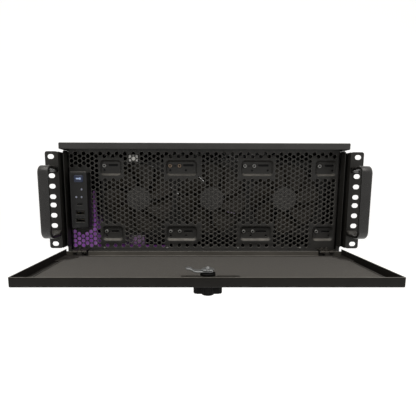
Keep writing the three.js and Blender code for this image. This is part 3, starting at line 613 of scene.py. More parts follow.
# ------------------------------------------------------- ears and bow handles
EAR_Z0, EAR_Z1, BODY_HALF, EAR_HALF = 15.1, 163.4, 221.2, 241.3
SLOT_Z = [22.225, 50.8, 66.675, 82.55, 95.25, 111.125, 127.0, 155.575]
for s, side in ((-1, "left"), (1, "right")):
    S = Shape()
    e0, e1 = sorted((s * (BODY_HALF + 0.2), s * EAR_HALF))
    slots = [obround(s * 232.55, z, 10.0, 7.0, 8) for z in SLOT_Z]
    plate(S, "y", rr(e0, e1, EAR_Z0, EAR_Z1, 3.5, 6), 0.0, 2.0, slots, 0.35)
    l0, l1 = sorted((s * 221.4, s * 223.1))
    legs = [circ(44, z, 2.1, 16) for z in (30, 89, 148)]
    plate(S, "x", rr(0.6, 62, EAR_Z0 + 0.2, EAR_Z1 - 0.2, 2.5, 4), l0, l1, legs, 0.3)
    # inner bend between flange and leg
    plate(S, "z", [(s * 221.8, 1.0), (s * 224.9, 1.0), (s * 224.9, 2.0), (s * 224.0, 2.2), (s * 223.35, 2.75), (s * 223.1, 3.6), (s * 221.8, 3.6)], EAR_Z0 + 1.5, EAR_Z1 - 1.5, (), 0.1)
    for z in (30, 89, 148):
        screw(S, "x", 44, z, s * 222.9, s, 3.4, 1.5, 1, "cross", 20, 0.2 + z * 0.01)
    make("rack_ear_" + side + "_formed", S, [BODY, STEEL], "chassis", ["rack_ear_" + side])

    # bow handle: rounded flat bar on a bent path, flared where it is screwed on
    S = Shape()
    HX, W2, T, RCH = s * 229.2, 7.65, 5.0, 38.0
    za, zb, R = 34.6, 141.2, 12.0
    o_, i_ = [], []
    for y, t in ((-0.3, 9.0), (-1.6, 8.6), (-3.6, 7.6), (-6.0, 6.2), (-8.5, 5.3), (-11.5, 5.0), (-18.0, 5.0), (-26.0, 5.0)):
        o_.append((y, za)), i_.append((y, za + t))
    for k in range(1, 10):
        a = rad(-90 - 10 * k)
        c = (-RCH + R, za + R)
        o_.append((c[0] + R * cos(a), c[1] + R * sin(a))), i_.append((c[0] + (R - T) * cos(a), c[1] + (R - T) * sin(a)))
    for k in range(1, 6):
        z = za + R + (zb - za - 2 * R) * k / 6
        o_.append((-RCH, z)), i_.append((-RCH + T, z))
    for k in range(0, 9):
        a = rad(180 - 10 * k)
        c = (-RCH + R, zb - R)
        o_.append((c[0] + R * cos(a), c[1] + R * sin(a))), i_.append((c[0] + (R - T) * cos(a), c[1] + (R - T) * sin(a)))
    for y, t in ((-26.0, 5.0), (-18.0, 5.0), (-11.5, 5.0), (-8.5, 5.3), (-6.0, 6.2), (-3.6, 7.6), (-1.6, 8.6), (-0.3, 9.0)):
        o_.append((y, zb)), i_.append((y, zb - t))
    verts, faces, n = [], [], 24
    for (oy, oz), (iy, iz) in zip(o_, i_):
        T_ = math.hypot(iy - oy, iz - oz)
        ring = rr(-W2, W2, 0, T_, min(2.3, T_ / 2.05), 5)
        verts += [(HX + w, oy + (iy - oy) * q / T_, oz + (iz - oz) * q / T_) for w, q in ring]
    n, k = len(ring), len(o_)
    for r in range(k - 1):
        for i in range(n):
            j = (i + 1) % n
            faces.append((r * n + i, r * n + j, (r + 1) * n + j, (r + 1) * n + i))
    faces += [tuple(range(n)), tuple((k - 1) * n + i for i in range(n))]
    S.add(verts, faces, 0)
    make("bow_handle_" + side, S, [HANDLE], "chassis", ["handle_" + side], smooth=40)

# --------------------------------------------------------------------- cover
S = Shape()
LZ0, LZ1, LY0, LY1, LH = 167.3, 176.8, 3.0, 468.0, 221.6
R = 1.5


def lid_ring(d):
    return rr(-LH + d, LH - d, LY0 + d, LY1 - d, max(1.6 - d, 0.2), 4)


rings = [(lid_ring(R * (1 - sin(a * pi / 2 / 4))), LZ1 - R * (1 - cos(a * pi / 2 / 4))) for a in range(5)]
rings += [(lid_ring(0.0), LZ0 + 0.3), (lid_ring(0.25), LZ0), (lid_ring(0.95), LZ0), (lid_ring(1.2), LZ0 + 0.3), (lid_ring(1.2), LZ1 - 2.0), (lid_ring(2.0), LZ1 - 1.2)]
skin(S, "z", rings)
# shallow stiffening recesses pressed into the top
tops, unders = [rings[0][0]], [rings[-1][0]]
for x0, x1 in ((-196, -72), (-62, 62), (72, 196)):
    for y0, y1 in ((42, 216), (236, 430)):
        fr = [(rr(x0 + d, x1 - d, y0 + d, y1 - d, 9 - d, 6), LZ1 - t) for d, t in ((0, 0), (0.4, 0.06), (1.4, 0.42), (2.4, 0.78), (3.0, 0.85))]
        bk = [(lp, t - SH) for lp, t in fr]
        skin(S, "z", fr)
        skin(S, "z", bk)
        tops.append(fr[0][0])
        unders.append(bk[0][0])
        cap(S, "z", [fr[-1][0]], LZ1 - 0.85)
        cap(S, "z", [bk[-1][0]], LZ1 - 0.85 - SH)
cap(S, "z", tops, LZ1)
cap(S, "z", unders, LZ1 - 1.2)
make("cover_pressed", S, [LID_LIT_COAT], "chassis", ["top_cover"])

# top rail behind the lip
S = Shape()
plate(S, "x", [(11.5, 168.6), (12.7, 168.6), (12.7, 173.3), (13.3, 174.1), (28, 174.1), (28, 175.3), (12.3, 175.3), (11.5, 174.5)], -215.1, 215.1, (), 0.12)
make("top_rail_folded", S, [BODY], "chassis", ["top_rail"])

# ---------------------------------------------------- tray: floor, side walls
S = Shape()
FLOOR, REAR = 0.8, 468.0
floor_holes = [obround(x, y, 26, 3.4, 4) for x in (-150, -100, 100, 150) for y in range(100, 200, 12)]
floor_holes += [circ(x, y, 2.0, 12) for x in (-100, 30, 185) for y in (230, 350, 450)]
plate(S, "z", rr(-BODY_HALF, BODY_HALF, 17.0, 466.5, 0.8, 3), FLOOR, FLOOR + 1.2, floor_holes, 0.3)
plate(S, "x", [(17, FLOOR + 0.3), (18.2, FLOOR + 0.3), (18.2, 7.2), (18.9, 7.9), (24.8, 7.9), (24.8, 9.1), (18.2, 9.1), (17.0, 8.0)], -215.9, 215.9, (), 0.12)
plate(S, "x", [(10.3, 0.9), (17.6, 0.9), (17.6, 2.0), (10.6, 2.0), (10.1, 1.7), (10.0, 1.2)], -215.0, 215.0, (), 0.1)
for s in (-1, 1):
    w0, w1 = sorted((s * 220.0, s * BODY_HALF))
    vent = []
    for iy in range(9):
        for iz in range(5):
            vent.append(obround(372 + iy * 9, 60 + iz * 13 , 3.6, 10.0, 4))
    vent += [circ(y, z, 1.7, 12) for y in (84, 200, 320) for z in (20, 150)]
    plate(S, "x", rr(20.0, 466.5, FLOOR, 166.9, 0.8, 3), w0, w1, vent, 0.3)
    f0, f1 = sorted((s * 215.4, s * 216.6))
    plate(S, "x", rr(6.0, 21.2, 16.0, 164.1, 1.2, 4), f0, f1, (), 0.35)
    g0, g1 = sorted((s * 215.4, s * BODY_HALF))
    plate(S, "y", rr(g0, g1, FLOOR, 164.1, 0.5, 2), 20.0, 21.2, (), 0.2)
    h0, h1 = sorted((s * 207.2, s * 221.0))
    plate(S, "z", rr(h0, h1, 60, 454, 1.5, 3), 165.7, 166.9, (), 0.25)
for x in (-100, 30, 185):
    for y in (230, 350, 450):
        lathe(S, "z", x, y, [(3.4, 1.6), (3.0, 2.2), (3.0, 8.2), (0, 8.2)], 6, 1)
make("tray_folded", S, [BODY, STEEL], "chassis", ["base_tray"])

# ----------------------------------------------------------------- rear panel
PX0, PX1, PZ0, PZ1 = -208.0, -122.0, 5.0, 155.0
SHX0, SHX1, SHZ0, SHZ1 = -112.0, 47.0, 12.0, 56.5
SL0, SLP, SLN, SLZ0, SLZ1 = 62.0, 20.32, 7, 14.0, 128.0
RFX, RFZ = (-70.0, 14.0), 112.0
S = Shape()
outer = rr(-219.7, 219.7, 0.8, 166.6, 1.5, 3)
hl = [rr(PX0 + 4, PX1 - 4, PZ0 + 4, PZ1 - 4, 1.5, 3), rr(SHX0, SHX1, SHZ0, SHZ1, 0.8, 2)]
hl += [rr(SL0 + (i + .5) * SLP - 6.4, SL0 + (i + .5) * SLP + 6.4, SLZ0, SLZ1, 1.0, 3) for i in range(SLN)]
for fx in RFX:
    # finger guard punched from the sheet: three rings of slots round a hub
    for r0, r1, cnt in ((13.0, 19.0, 4), (21.5, 27.5, 4), (30.0, 36.5, 8)):
        for k in range(cnt):
            half, mid = pi / cnt - 1.9 / ((r0 + r1) / 2), 2 * pi * (k + 0.5) / cnt
            n = 8 if cnt == 4 else 5
            a = [mid - half + 2 * half * i / n for i in range(n + 1)]
            hl.append([(fx + r1 * cos(q), RFZ + r1 * sin(q)) for q in a] + [(fx + r0 * cos(q), RFZ + r0 * sin(q)) for q in a[::-1]])
# hexagonal vents
for i in range(26):
    for j in range(3):
        x, z = 64 + i * 5.6, 140 + j * 6.4 + (3.2 if i % 2 else 0)
        if x < 206 and z < 158:
            hl.append(circ(x, z, 2.5, 6))
plate(S, "y", outer, REAR - 1.2, REAR, hl, 0.2)
plate(S, "z", rr(-206.4, 206.4, 456.2, 467.4, 0.8, 2), 165.2, 166.4, (), 0.2)
for fx in RFX:
    for dx in (-35, 35):
        for dz in (-35, 35):
            screw(S, "y", fx + dx, RFZ + dz, REAR, 1, 3.2, 1.6, 1, "cross", 18, 0.3 + dx + dz)
for x, z in ((PX0 + 6 - 8.5, 12), (PX0 - 2.5, 150), (PX1 + 3.5, 12), (PX1 + 3.5, 150), (-212.5, 84), (211.5, 12), (211.5, 84), (211.5, 156), (52, 12), (52, 60)):
    screw(S, "y", x, z, REAR, 1, 2.7, 1.4, 1, "cross", 18, x * 0.3)
for s in (-1, 1):
    # folded returns along the side walls
    r0, r1 = sorted((s * 218.4, s * 219.6))
    plate(S, "x", rr(457.0, 467.4, 2.6, 164.6, 1.2, 3), r0, r1, (), 0.2)
make("rear_panel_punched", S, [BODY, STEEL], "chassis", ["rear_panel"])

# ------------------------------------------------------------------ the door
S = Shape()
DH, DY0, DY1, DZ0, DRZ = 221.0, -153.4, 9.5, 0.3, 12.0
LOCK = (0.5, -133.0)
intake = [circ(LOCK[0], LOCK[1], 9.3, 32)]
for i in range(-3, 4):
    if i:
        intake.append(obround(i * 55, -70, 40, 5, 6))
        for k in range(-3, 4):
            if k:
                intake.append(obround(i * 55, -70 + k * 13, 40, 5, 6))
plate(S, "z", rr(-DH + 0.9, DH - 0.9, DY0 + 0.9, DY1 - 0.15, 0.6, 3), DZ0, DZ0 + 1.2, intake, 0.25, ends=(0, 1))
# rims: one folded strip round three sides, with mitred corners and a rounded fold
rim = [(0.9, DZ0)] + [(1.3 * (1 - sin(rad(a))), DZ0 + 1.3 * (1 - cos(rad(a)))) for a in (20, 40, 60, 80, 90)]
rim += [(0.0, DRZ - 0.35), (0.12, DRZ - 0.1), (0.4, DRZ), (0.85, DRZ), (1.1, DRZ - 0.1), (1.2, DRZ - 0.35), (1.2, DZ0 + 1.9), (1.35, DZ0 + 1.5), (1.8, DZ0 + 1.2), (1.8, DZ0 + 0.2), (0.9, DZ0)]
rim = rim[:-1]


def strip(S, path_fn, prof, mat=0):
    """Sweep of a closed profile along an open path: path_fn(inset) gives the points."""
    cols = [path_fn(d) for d, _ in prof]
    n, k = len(prof), len(cols[0])
    verts = [(cols[i][q][0], cols[i][q][1], prof[i][1]) for q in range(k) for i in range(n)]
    faces = [(q * n + i, q * n + (i + 1) % n, (q + 1) * n + (i + 1) % n, (q + 1) * n + i) for q in range(k - 1) for i in range(n)]
    faces += [tuple(range(n)), tuple((k - 1) * n + i for i in range(n))]
    S.add(verts, faces, mat)


def rim_path(d):
    r = max(1.5 - d, 0.05)
    x0, x1, y0 = -DH + d, DH - d, DY0 + d
    return [(x0, DY1)] + arc(x0 + r, y0 + r, r, 180, 270, 4) + arc(x1 - r, y0 + r, r, 270, 360, 4) + [(x1, DY1)]


strip(S, rim_path, rim)
# hinge-side flange in three lengths, folded up like the rims but lower, in the lighter copy of the door coat: a painted
# highlight
for x0, x1 in ((-219.9, -209.5), (-185.0, 182.9), (207.4, 219.9)):
    plate(S, "x", [(8.1, 0.5), (9.1, 0.5), (9.5, 0.9), (9.5, 8.3), (9.2, 8.6), (8.6, 8.6), (8.3, 8.3), (8.3, 1.9), (7.6, 1.4), (7.4, 1.0)], x0, x1, (), 0.1, mat=1)
# corner gussets at the hinges: stepped pads on the pan floor
for s in (-1, 1):
    pad = [(s * 219.6, -38.0), (s * 209.6, -37.0), (s * 208.4, -35.0), (s * 208.0, -31.6), (s * 203.0, -30.4), (s * 200.0, -27.0), (s * 197.4, -13.6), (s * 195.0, -10.4), (s * 190.5, -9.0), (s * 190.5, 1.0), (s * 219.6, 1.0)]
    plate(S, "z", pad, 1.5, 3.9, (), 0.7, ends=(0, 1))
# rounded beads along the flange tops in the lighter copy of the door coat: a painted highlight
for x0, x1 in ((-219.7, -209.7), (-184.8, 182.7), (207.6, 219.7)):
    plate(S, "x", [(8.9 + 0.72 * cos(rad(a)), 8.0 + 0.6 * sin(rad(a))) for a in range(0, 360, 30)], x0, x1, (), 0.1, mat=1)
# thin strip over the rim tops in the lighter copy: a painted highlight
strip(S, rim_path, [(0.08, DRZ - 0.5), (0.1, DRZ - 0.1), (0.38, DRZ + 0.05), (0.85, DRZ + 0.05), (1.12, DRZ - 0.1), (1.12, DRZ - 0.5)], 1)
make("door_pan_folded", S, [DOOR_SHADED_COAT, DOOR_EDGE_HIGHLIGHT], "door", ["door_panel"])

# bracket that stiffens the pan behind the lock
S = Shape()
nx, ny = LOCK
br = [(-30.5, -139.0), (-30.5, -150.4), (37, -150.4), (37, -139.0)] + [(nx + 12.6 * cos(rad(a)), ny + 12.6 * sin(rad(a))) for a in (-28, -48, -68, -90, -112, -132, -152)]
plate(S, "z", br, 9.2, 10.4, (), 0.25)
plate(S, "y", rr(-30.5, 37, 5.2, 10.2, 0.4, 2), -151.3, -150.1, (), 0.2)
for x in (-24, 30.5):
    screw(S, "z", x, -145.5, 10.3, 1, 2.2, 0.8, 0, "cross", 16, 0.6)
make("lock_bracket_folded", S, [DOOR_SHADED_COAT, STEEL], "door", ["lock_bracket"])

# dust filter: woven mesh that is held down by a thin moulded edge
S = Shape()
flt = [(-209, -150.0), (213, -150.0), (213, -37.5), (210.5, -33.6), (205.5, -31.0), (203.0, -26.0), (200.5, -14.0), (197.5, -9.9), (-191, -9.9), (-194.5, -14.0), (-197, -26.0), (-200.0, -31.0), (-206.0, -33.6), (-209, -37.5)]
notch = [(nx - 10.6, -150.0), (nx - 10.6, ny)] + [(nx + 10.6 * cos(rad(a)), ny + 10.6 * sin(rad(a))) for a in (150, 120, 90, 60, 30)] + [(nx + 10.6, ny), (nx + 10.6, -150.0)]
edge = [(-209, -150.0)] + notch + flt[1:]
inner = offset(edge, 2.6)
skin(S, "z", [(edge, 3.3), (edge, 4.9), (offset(edge, 0.4), 5.15), (offset(edge, 2.2), 5.15), (inner, 4.7), (inner, 4.2)], 1)
cap(S, "z", [edge], 3.3, 1)
# the mesh itself sags a little between its edges
x0, x1, y0, y1 = -206.4, 210.4, -147.4, -12.5
nxg, nyg = 84, 28
grid = {}
for i in range(nxg + 1):
    for j in range(nyg + 1):
        x, y = x0 + (x1 - x0) * i / nxg, y0 + (y1 - y0) * j / nyg
        sag = -0.45 * sin(pi * i / nxg) * sin(pi * j / nyg) + 0.10 * sin(x * 0.11) * sin(y * 0.17 + 1) + 0.05 * sin(x * 0.31 + y * 0.23)
        grid[i, j] = (x, y, 4.45 + sag * 0.6)
verts, faces, idx = [], [], {}
for (i, j), p in grid.items():
    idx[i, j] = len(verts)
    verts.append(p)
ok = lambda x, y: inside(inner, x, y)
for i in range(nxg):
    for j in range(nyg):
        cxm, cym = (grid[i, j][0] + grid[i + 1, j][0]) / 2, (grid[i, j][1] + grid[i, j + 1][1]) / 2
        if all(ok(grid[a][0], grid[a][1]) for a in ((i, j), (i + 1, j), (i + 1, j + 1), (i, j + 1))) or ok(cxm, cym):
            faces.append((idx[i, j], idx[i + 1, j], idx[i + 1, j + 1], idx[i, j + 1]))
used = sorted({q for f in faces for q in f})
re_ = {q: k for k, q in enumerate(used)}
top = [verts[q] for q in used]
S.add(top + [(x, y, z - 0.5) for x, y, z in top], [tuple(re_[q] for q in f) for f in faces] + [tuple(re_[q] + len(top) for q in f[::-1]) for f in faces], 0)
cnt = {}
for f in faces:
    for a, b in zip(f, f[1:] + f[:1]):
        cnt[tuple(sorted((a, b)))] = cnt.get(tuple(sorted((a, b))), 0) + 1
S.add(top + [(x, y, z - 0.5) for x, y, z in top], [(re_[a], re_[b], re_[b] + len(top), re_[a] + len(top)) for (a, b), c in cnt.items() if c == 1], 0)
make("door_filter_mesh", S, [FILTER, FRAMEM], "door", ["door_filter"])

# hinges
PY, PZ = 5.2, 8.0
for hx, side in ((-197.3, "left"), (195.2, "right")):
    S = Shape()
    sg = -1 if side == "left" else 1
    holes2 = [circ(hx - 5.4, 18, 1.7, 14), circ(hx + 4.6, 18, 1.7, 14)]
    plate(S, "z", rr(hx - 10.4, hx + 10.4, 11.6, 24.6, 1.6, 4), 9.4, 10.6, holes2, 0.2)
    for a, b in ((hx - 10.4, hx - 3.8), (hx + 3.8, hx + 10.4)):
        lathe(S, "x", PY, PZ, [(1.25, a), (2.3, a), (2.6, a + 0.3), (2.6, b - 0.3), (2.3, b), (1.25, b)], 20, 0, closed=True)
        plate(S, "x", [(PY, 9.4), (12.4, 9.4), (12.4, 10.6), (PY, 10.6)], a + 0.1, b - 0.1, (), 0.15)
    # raised rivets and pressed lugs that show over the sill
    for dx in ((-5.4, 1.9) if side == "left" else (-1.9, 5.4)):
        lathe(S, "z", hx + dx, 21.4, [(2.1, 10.5), (2.1, 11.6), (1.7, 12.6), (0.9, 13.0), (0, 13.1)], 14, 0)
    for q in (hx - 5.4, hx + 4.6):
        screw(S, "z", q, 18, 10.4, 1, 2.4, 0.8, 0, "cross", 14, 0.4)
    make("hinge_leaf_" + side + "_formed", S, [HINGE], "chassis", ["hinge_leaf_" + side])
    S = Shape()
    lathe(S, "x", PY, PZ, [(1.25, hx - 3.4), (2.3, hx - 3.4), (2.6, hx - 3.1), (2.6, hx + 3.1), (2.3, hx + 3.4), (1.25, hx + 3.4)], 20, 0, closed=True)
    plate(S, "x", [(2.6, 8.0), (2.6, 3.0), (2.2, 2.4), (-8.6, 2.4), (-8.6, 1.7), (3.0, 1.7), (3.8, 2.6), (3.8, 8.0)], hx - 3.3, hx + 3.3, (), 0.12)
    plate(S, "z", rr(hx - 10.4, hx + 10.4, -8.6, 3.4, 1.4, 3), 1.7, 2.9, (), 0.2)
    for q in (hx - 7, hx + 7):
        screw(S, "z", q, -4.5, 2.8, 1, 1.9, 0.6, 0, "cross", 14, 0.9)
    make("door_leaf_" + side + "_formed", S, [HINGE], "door", ["door_leaf_" + side])
    S = Shape()
    lathe(S, "x", PY, PZ, [(0, hx - 10.8), (0.9, hx - 10.8), (1.2, hx - 10.5), (1.2, hx + 10.5), (0.9, hx + 10.8), (0, hx + 10.8)], 16, 0)
    make("hinge_pin_" + side + "_turned", S, [STEEL], "chassis", ["hinge_pin_" + side])

# ------------------------------------------------------------------ the lock
LX, LY = LOCK
S = Shape()
lathe(S, "z", LX, LY, [(2.8, -2.6), (11.2, -2.6), (11.9, -2.2), (12.0, -1.6), (12.0, -0.3), (11.8, 0.0), (9.15, 0.0), (9.0, 0.3), (9.0, 4.8), (8.7, 5.0), (8.7, 5.3), (9.0, 5.5), (9.0, 6.6), (8.7, 6.8), (8.7, 7.1), (9.0, 7.3), (9.0, 8.4), (8.7, 8.6), (8.7, 8.9), (9.0, 9.1), (9.0, 11.6), (8.5, 12.2), (2.8, 12.2)], 40, 0, closed=True)
lathe(S, "z", LX, LY, [(8.9, 1.7), (13.2, 1.7), (13.2, 4.4), (12.8, 4.9), (8.9, 4.9)], 6, 1, closed=True)
make("lock_barrel", S, [LOCKP, STEEL], "door", ["lock_body"])
S = Shape()


def knob_loop(scale, shrink=0.0):
    out = []
    for i in range(96):
        a = 2 * pi * i / 96
        ca, sa = abs(cos(a)), abs(sin(a))
        w = 4.4 / max(sa, 1e-3)          # wing half width as a polar line
        rw = min(16.8, w)
        # round wing tips
        if w > 16.8:
            dy = 16.8 * sa
            rw = 16.8 - 3.2 * (1 - math.sqrt(max(0, 1 - max(0, (dy - 1.2) / 3.2) ** 2)))
        rad_ = max(7.6, rw)
        rad_ = rad_ * scale - shrink
        out.append((LX + rad_ * cos(a), LY + rad_ * sin(a)))
    return out


prof = [(0.0, -2.9), (0.0, -11.2), (0.25, -12.0), (0.8, -12.5), (1.6, -12.6)]
skin(S, "z", [(knob_loop(1, d), t) for d, t in [(0.5, -2.9), (0.0, -3.4)] + prof[1:]])
cap(S, "z", [knob_loop(1, 0.5)], -2.9)
cap(S, "z", [knob_loop(1, 1.6), circ(LX, LY, 5.6, 32)], -12.6)
lathe_prof = [(5.6, -12.6), (7.2, -12.6), (7.6, -12.9), (7.4, -13.5), (6.8, -13.9), (5.3, -13.9), (5.0, -13.6), (5.0, -11.4)]
skin(S, "z", [(circ(LX, LY, r, 32), t) for r, t in lathe_prof])
cap(S, "z", [circ(LX, LY, 5.0, 32)], -11.4)
skin(S, "z", [(circ(LX, LY, 5.6, 32), -12.6), (circ(LX, LY, 5.6, 32), -12.0)])
cap(S, "z", [circ(LX, LY, 5.6, 32)], -12.0)
# finger flutes round the hub
for k in range(10):
    a = 2 * pi * k / 10 + 0.3
    if abs(cos(a)) > 0.86:
        continue
    lathe(S, "z", LX + 7.5 * cos(a), LY + 7.5 * sin(a), [(0, -12.4), (0.7, -12.2), (0.9, -11.6), (0.9, -3.2), (0, -3.1)], 10, 0)
lathe(S, "z", LX, LY, [(0, -3.1), (2.5, -3.1), (2.5, 14.4), (2.2, 14.8), (0, 14.8)], 20, 0)
make("lock_wing_knob", S, [LOCKP], "lock", ["lock_knob"], smooth=38)
S = Shape()
key = rr(LX - 0.65, LX + 0.65, LY - 3.0, LY + 3.0, 0.3, 2)
skin(S, "z", [(circ(LX, LY, 4.6, 28), -11.7), (circ(LX, LY, 4.6, 28), -13.1), (circ(LX, LY, 4.2, 28), -13.5)])
cap(S, "z", [circ(LX, LY, 4.6, 28)], -11.7)
cap(S, "z", [circ(LX, LY, 4.2, 28), key], -13.5)
skin(S, "z", [(key, -13.5), (key, -12.4)])
cap(S, "z", [key], -12.4)
make("lock_key_plug", S, [STEEL], "lock", ["lock_plug"])
# cam: cranked flat arm with a rounded tip
S = Shape()
xs = [6.0, 3.0, -4, -10, -14.6, -16.4, -18.2, -20.0, -22.0, -24.0, -25.4, -26.0]
zs = [12.6, 12.6, 12.6, 12.6, 12.7, 13.6, 14.9, 15.9, 16.1, 16.1, 16.1, 16.1]
ws = [3.2, 5.0, 5.0, 5.0, 5.0, 5.0, 5.0, 5.0, 5.0, 4.3, 2.8, 1.2]
verts, faces = [], []
for x, z, w in zip(xs, zs, ws):
    for y, dz in ((-w, 0.3), (-w + 0.3, 0), (w - 0.3, 0), (w, 0.3), (w, 1.7), (w - 0.3, 2.0), (w * 0.35, 2.0), (0, 2.0), (-w * 0.35, 2.0), (-w + 0.3, 2.0), (-w, 1.7)):
        verts.append((LX + x, LY + y, z + dz))
n = 11
for r in range(len(xs) - 1):
    for i in range(n):
        j = (i + 1) % n
        faces.append((r * n + i, r * n + j, (r + 1) * n + j, (r + 1) * n + i))
faces += [tuple(range(n)), tuple((len(xs) - 1) * n + i for i in range(n))]
S.add(verts, faces, 0)
make("lock_cam_cranked", S, [CAMM], "lock", ["lock_cam"], smooth=50)
S = Shape()
star = []
for i in range(64):
    a = 2 * pi * i / 64
    star.append((LX + (7.05 + 0.75 * cos(8 * a)) * cos(a), LY + (7.05 + 0.75 * cos(8 * a)) * sin(a)))
plate(S, "z", star, 15.1, 16.6, (), 0.25)
hexo = circ(LX, LY, 3.4, 6)
plate(S, "z", hexo, 16.5, 18.6, [circ(LX, LY, 1.6, 18)], 0.3)
lathe(S, "z", LX, LY, [(0, 16.4), (1.55, 16.4), (1.55, 17.9), (1.2, 18.2), (0, 18.2)], 18, 0)
make("lock_star_nut", S, [CAMM], "lock", ["lock_nut"])

# --------------------------------------------------------------- I/O module
IX0, IX1, IZ0, IZ1, IY = -207.9, -181.7, 45.8, 133.6, 5.0
cx = (IX0 + IX1) / 2
BTNC = (cx + 0.6, 122.8)
LEDS = [(cx + 4.6, 106.4), (cx - 4.0, 94.5), (cx + 4.2, 94.5)]
UC, UA = (cx + 0.9, 83.4), [(cx + 1.2, 70.4), (cx + 1.2, 58.8)]
S = Shape()


def io_ring(d):
    return rr(IX0 + d, IX1 - d, IZ0 + d, IZ1 - d, max(2.2 - d, 0.3), 5)


rings = [(io_ring(d), t) for d, t in ((1.5, IY), (0.7, IY + 0.22), (0.22, IY + 0.7), (0.0, IY + 1.5), (0.0, 25.1), (1.6, 25.1), (1.6, IY + 2.0))]
skin(S, "y", rings)
fh = [rr(BTNC[0] - 7.1, BTNC[0] + 7.1, BTNC[1] - 5.6, BTNC[1] + 5.6, 2.4, 5)] + [circ(x, z, 1.7, 16) for x, z in LEDS]
fh += [obround(UC[0], UC[1], 9.6, 3.8, 6)] + [rr(x - 7.0, x + 7.0, z - 3.3, z + 3.3, 0.5, 2) for x, z in UA]
grown = [offset(h, -0.25) for h in fh]
cap(S, "y", [rings[0][0]] + grown, IY)
cap(S, "y", [rings[-1][0]] + fh, IY + 2.0)
for h, g in zip(fh, grown):
    skin(S, "y", [(g, IY), (h, IY + 0.25), (h, IY + 2.0)])
# thin raised ribs round the ports; their tops take the moulded plastic's painted top light
for x, z in UA:
    for dz, w in ((-4.1, 0.55), (4.1, 0.3)):
        block(S, x - 7.4, x + 7.4, IY - 0.5, IY + 0.6, z + dz - w, z + dz + w, 0.25)
make("io_housing_moulded", S, [PLASTIC], "chassis", ["io_housing"])
S = Shape()
bx0, bx1, bz0, bz1 = BTNC[0] - 6.8, BTNC[0] + 6.8, BTNC[1] - 5.3, BTNC[1] + 5.3
skin(S, "y", [(rr(bx0 + d, bx1 - d, bz0 + d, bz1 - d, 2.2 - d * 0.6, 5), t) for d, t in ((0.9, IY - 0.55), (0.4, IY - 0.4), (0.1, IY - 0.1), (0, IY + 0.4), (0, IY + 6.0))])
cap(S, "y", [rr(bx0 + 0.9, bx1 - 0.9, bz0 + 0.9, bz1 - 0.9, 2.2 - 0.54, 5)], IY - 0.55)
cap(S, "y", [rr(bx0, bx1, bz0, bz1, 2.2, 5)], IY + 6.0)
lathe(S, "y", BTNC[0], BTNC[1], [(2.0, IY + 5.5), (2.0, IY + 14.2), (1.6, IY + 14.6), (0, IY + 14.6)], 14, 0)
block(S, BTNC[0] - 3.6, BTNC[0] + 4.0, IY - 0.6, IY - 0.3, BTNC[1] - 1.1, BTNC[1] + 1.1, 0.14, 1)
block(S, BTNC[0] + 1.8, BTNC[0] + 3.4, IY - 0.6, IY - 0.3, BTNC[1] - 1.7, BTNC[1] + 1.7, 0.14, 1)
make("power_button_cap", S, [BTN, BTNW], "power_button", ["power_button"])
S = Shape()
for x, z in LEDS:
    lathe(S, "y", x, z, [(0, IY - 0.1), (0.8, IY + 0.0), (1.35, IY + 0.4), (1.55, IY + 1.0), (1.55, IY + 9), (0, IY + 9)], 16, 0)
block(S, cx - 6.2, cx + 6.4, IY + 7.4, IY + 9, 92.4, 108.2, 0.4)
make("io_light_pipe_clear", S, [PIPE], "chassis", ["io_light_pipe"])
S = Shape()
sh = obround(UC[0], UC[1], 9.0, 3.2, 8)
inn = obround(UC[0], UC[1], 8.4, 2.6, 8)
skin(S, "y", [(inn, IY + 0.3), (sh, IY + 0.3), (sh, IY + 14), (inn, IY + 14)], 0, True)
block(S, UC[0] - 3.4, UC[0] + 3.4, IY + 1.2, IY + 13.8, UC[1] - 0.35, UC[1] + 0.35, 0.15, 1)
block(S, UC[0] - 4.3, UC[0] + 4.3, IY + 10, IY + 13.8, UC[1] - 1.4, UC[1] + 1.4, 0.1, 1)
make("usb_c_socket_shell", S, [HINGE, PORT], "chassis", ["usb_c_socket"])
for (x, z), nm in zip(UA, ("upper", "lower")):
    S = Shape()
    o4, i4 = rr(x - 6.6, x + 6.6, z - 2.95, z + 2.95, 0.5, 3), rr(x - 6.25, x + 6.25, z - 2.6, z + 2.6, 0.3, 3)
    skin(S, "y", [(i4, IY + 0.3), (o4, IY + 0.3), (o4, IY + 17), (i4, IY + 17)], 0, True)
    block(S, x - 5.8, x + 5.8, IY + 1.6, IY + 16, z + 0.9, z + 2.1, 0.15, 1)
    for k in range(4):
        block(S, x - 4.2 + k * 2.5, x - 3.1 + k * 2.5, IY + 2.0, IY + 10, z + 0.72, z + 0.95, 0.05, 2)
    block(S, x - 6.2, x + 6.2, IY + 13, IY + 16.9, z - 2.55, z + 2.55, 0.1, 1)
    make("usb_a_socket_" + nm + "_shell", S, [HINGE, PORT, GOLD], "chassis", ["usb_a_socket_" + nm])

S = Shape()
plate(S, "y", rr(IX0 + 2.2, IX1 - 2.2, IZ0 + 3, IZ1 - 3, 0.8, 3), IY + 17.4, IY + 19.0, [circ(cx - 8, IZ0 + 8, 1.4, 12), circ(cx + 8, IZ1 - 8, 1.4, 12)], 0.1)
make("io_board_cut", S, [PCB], "chassis", ["io_board"])


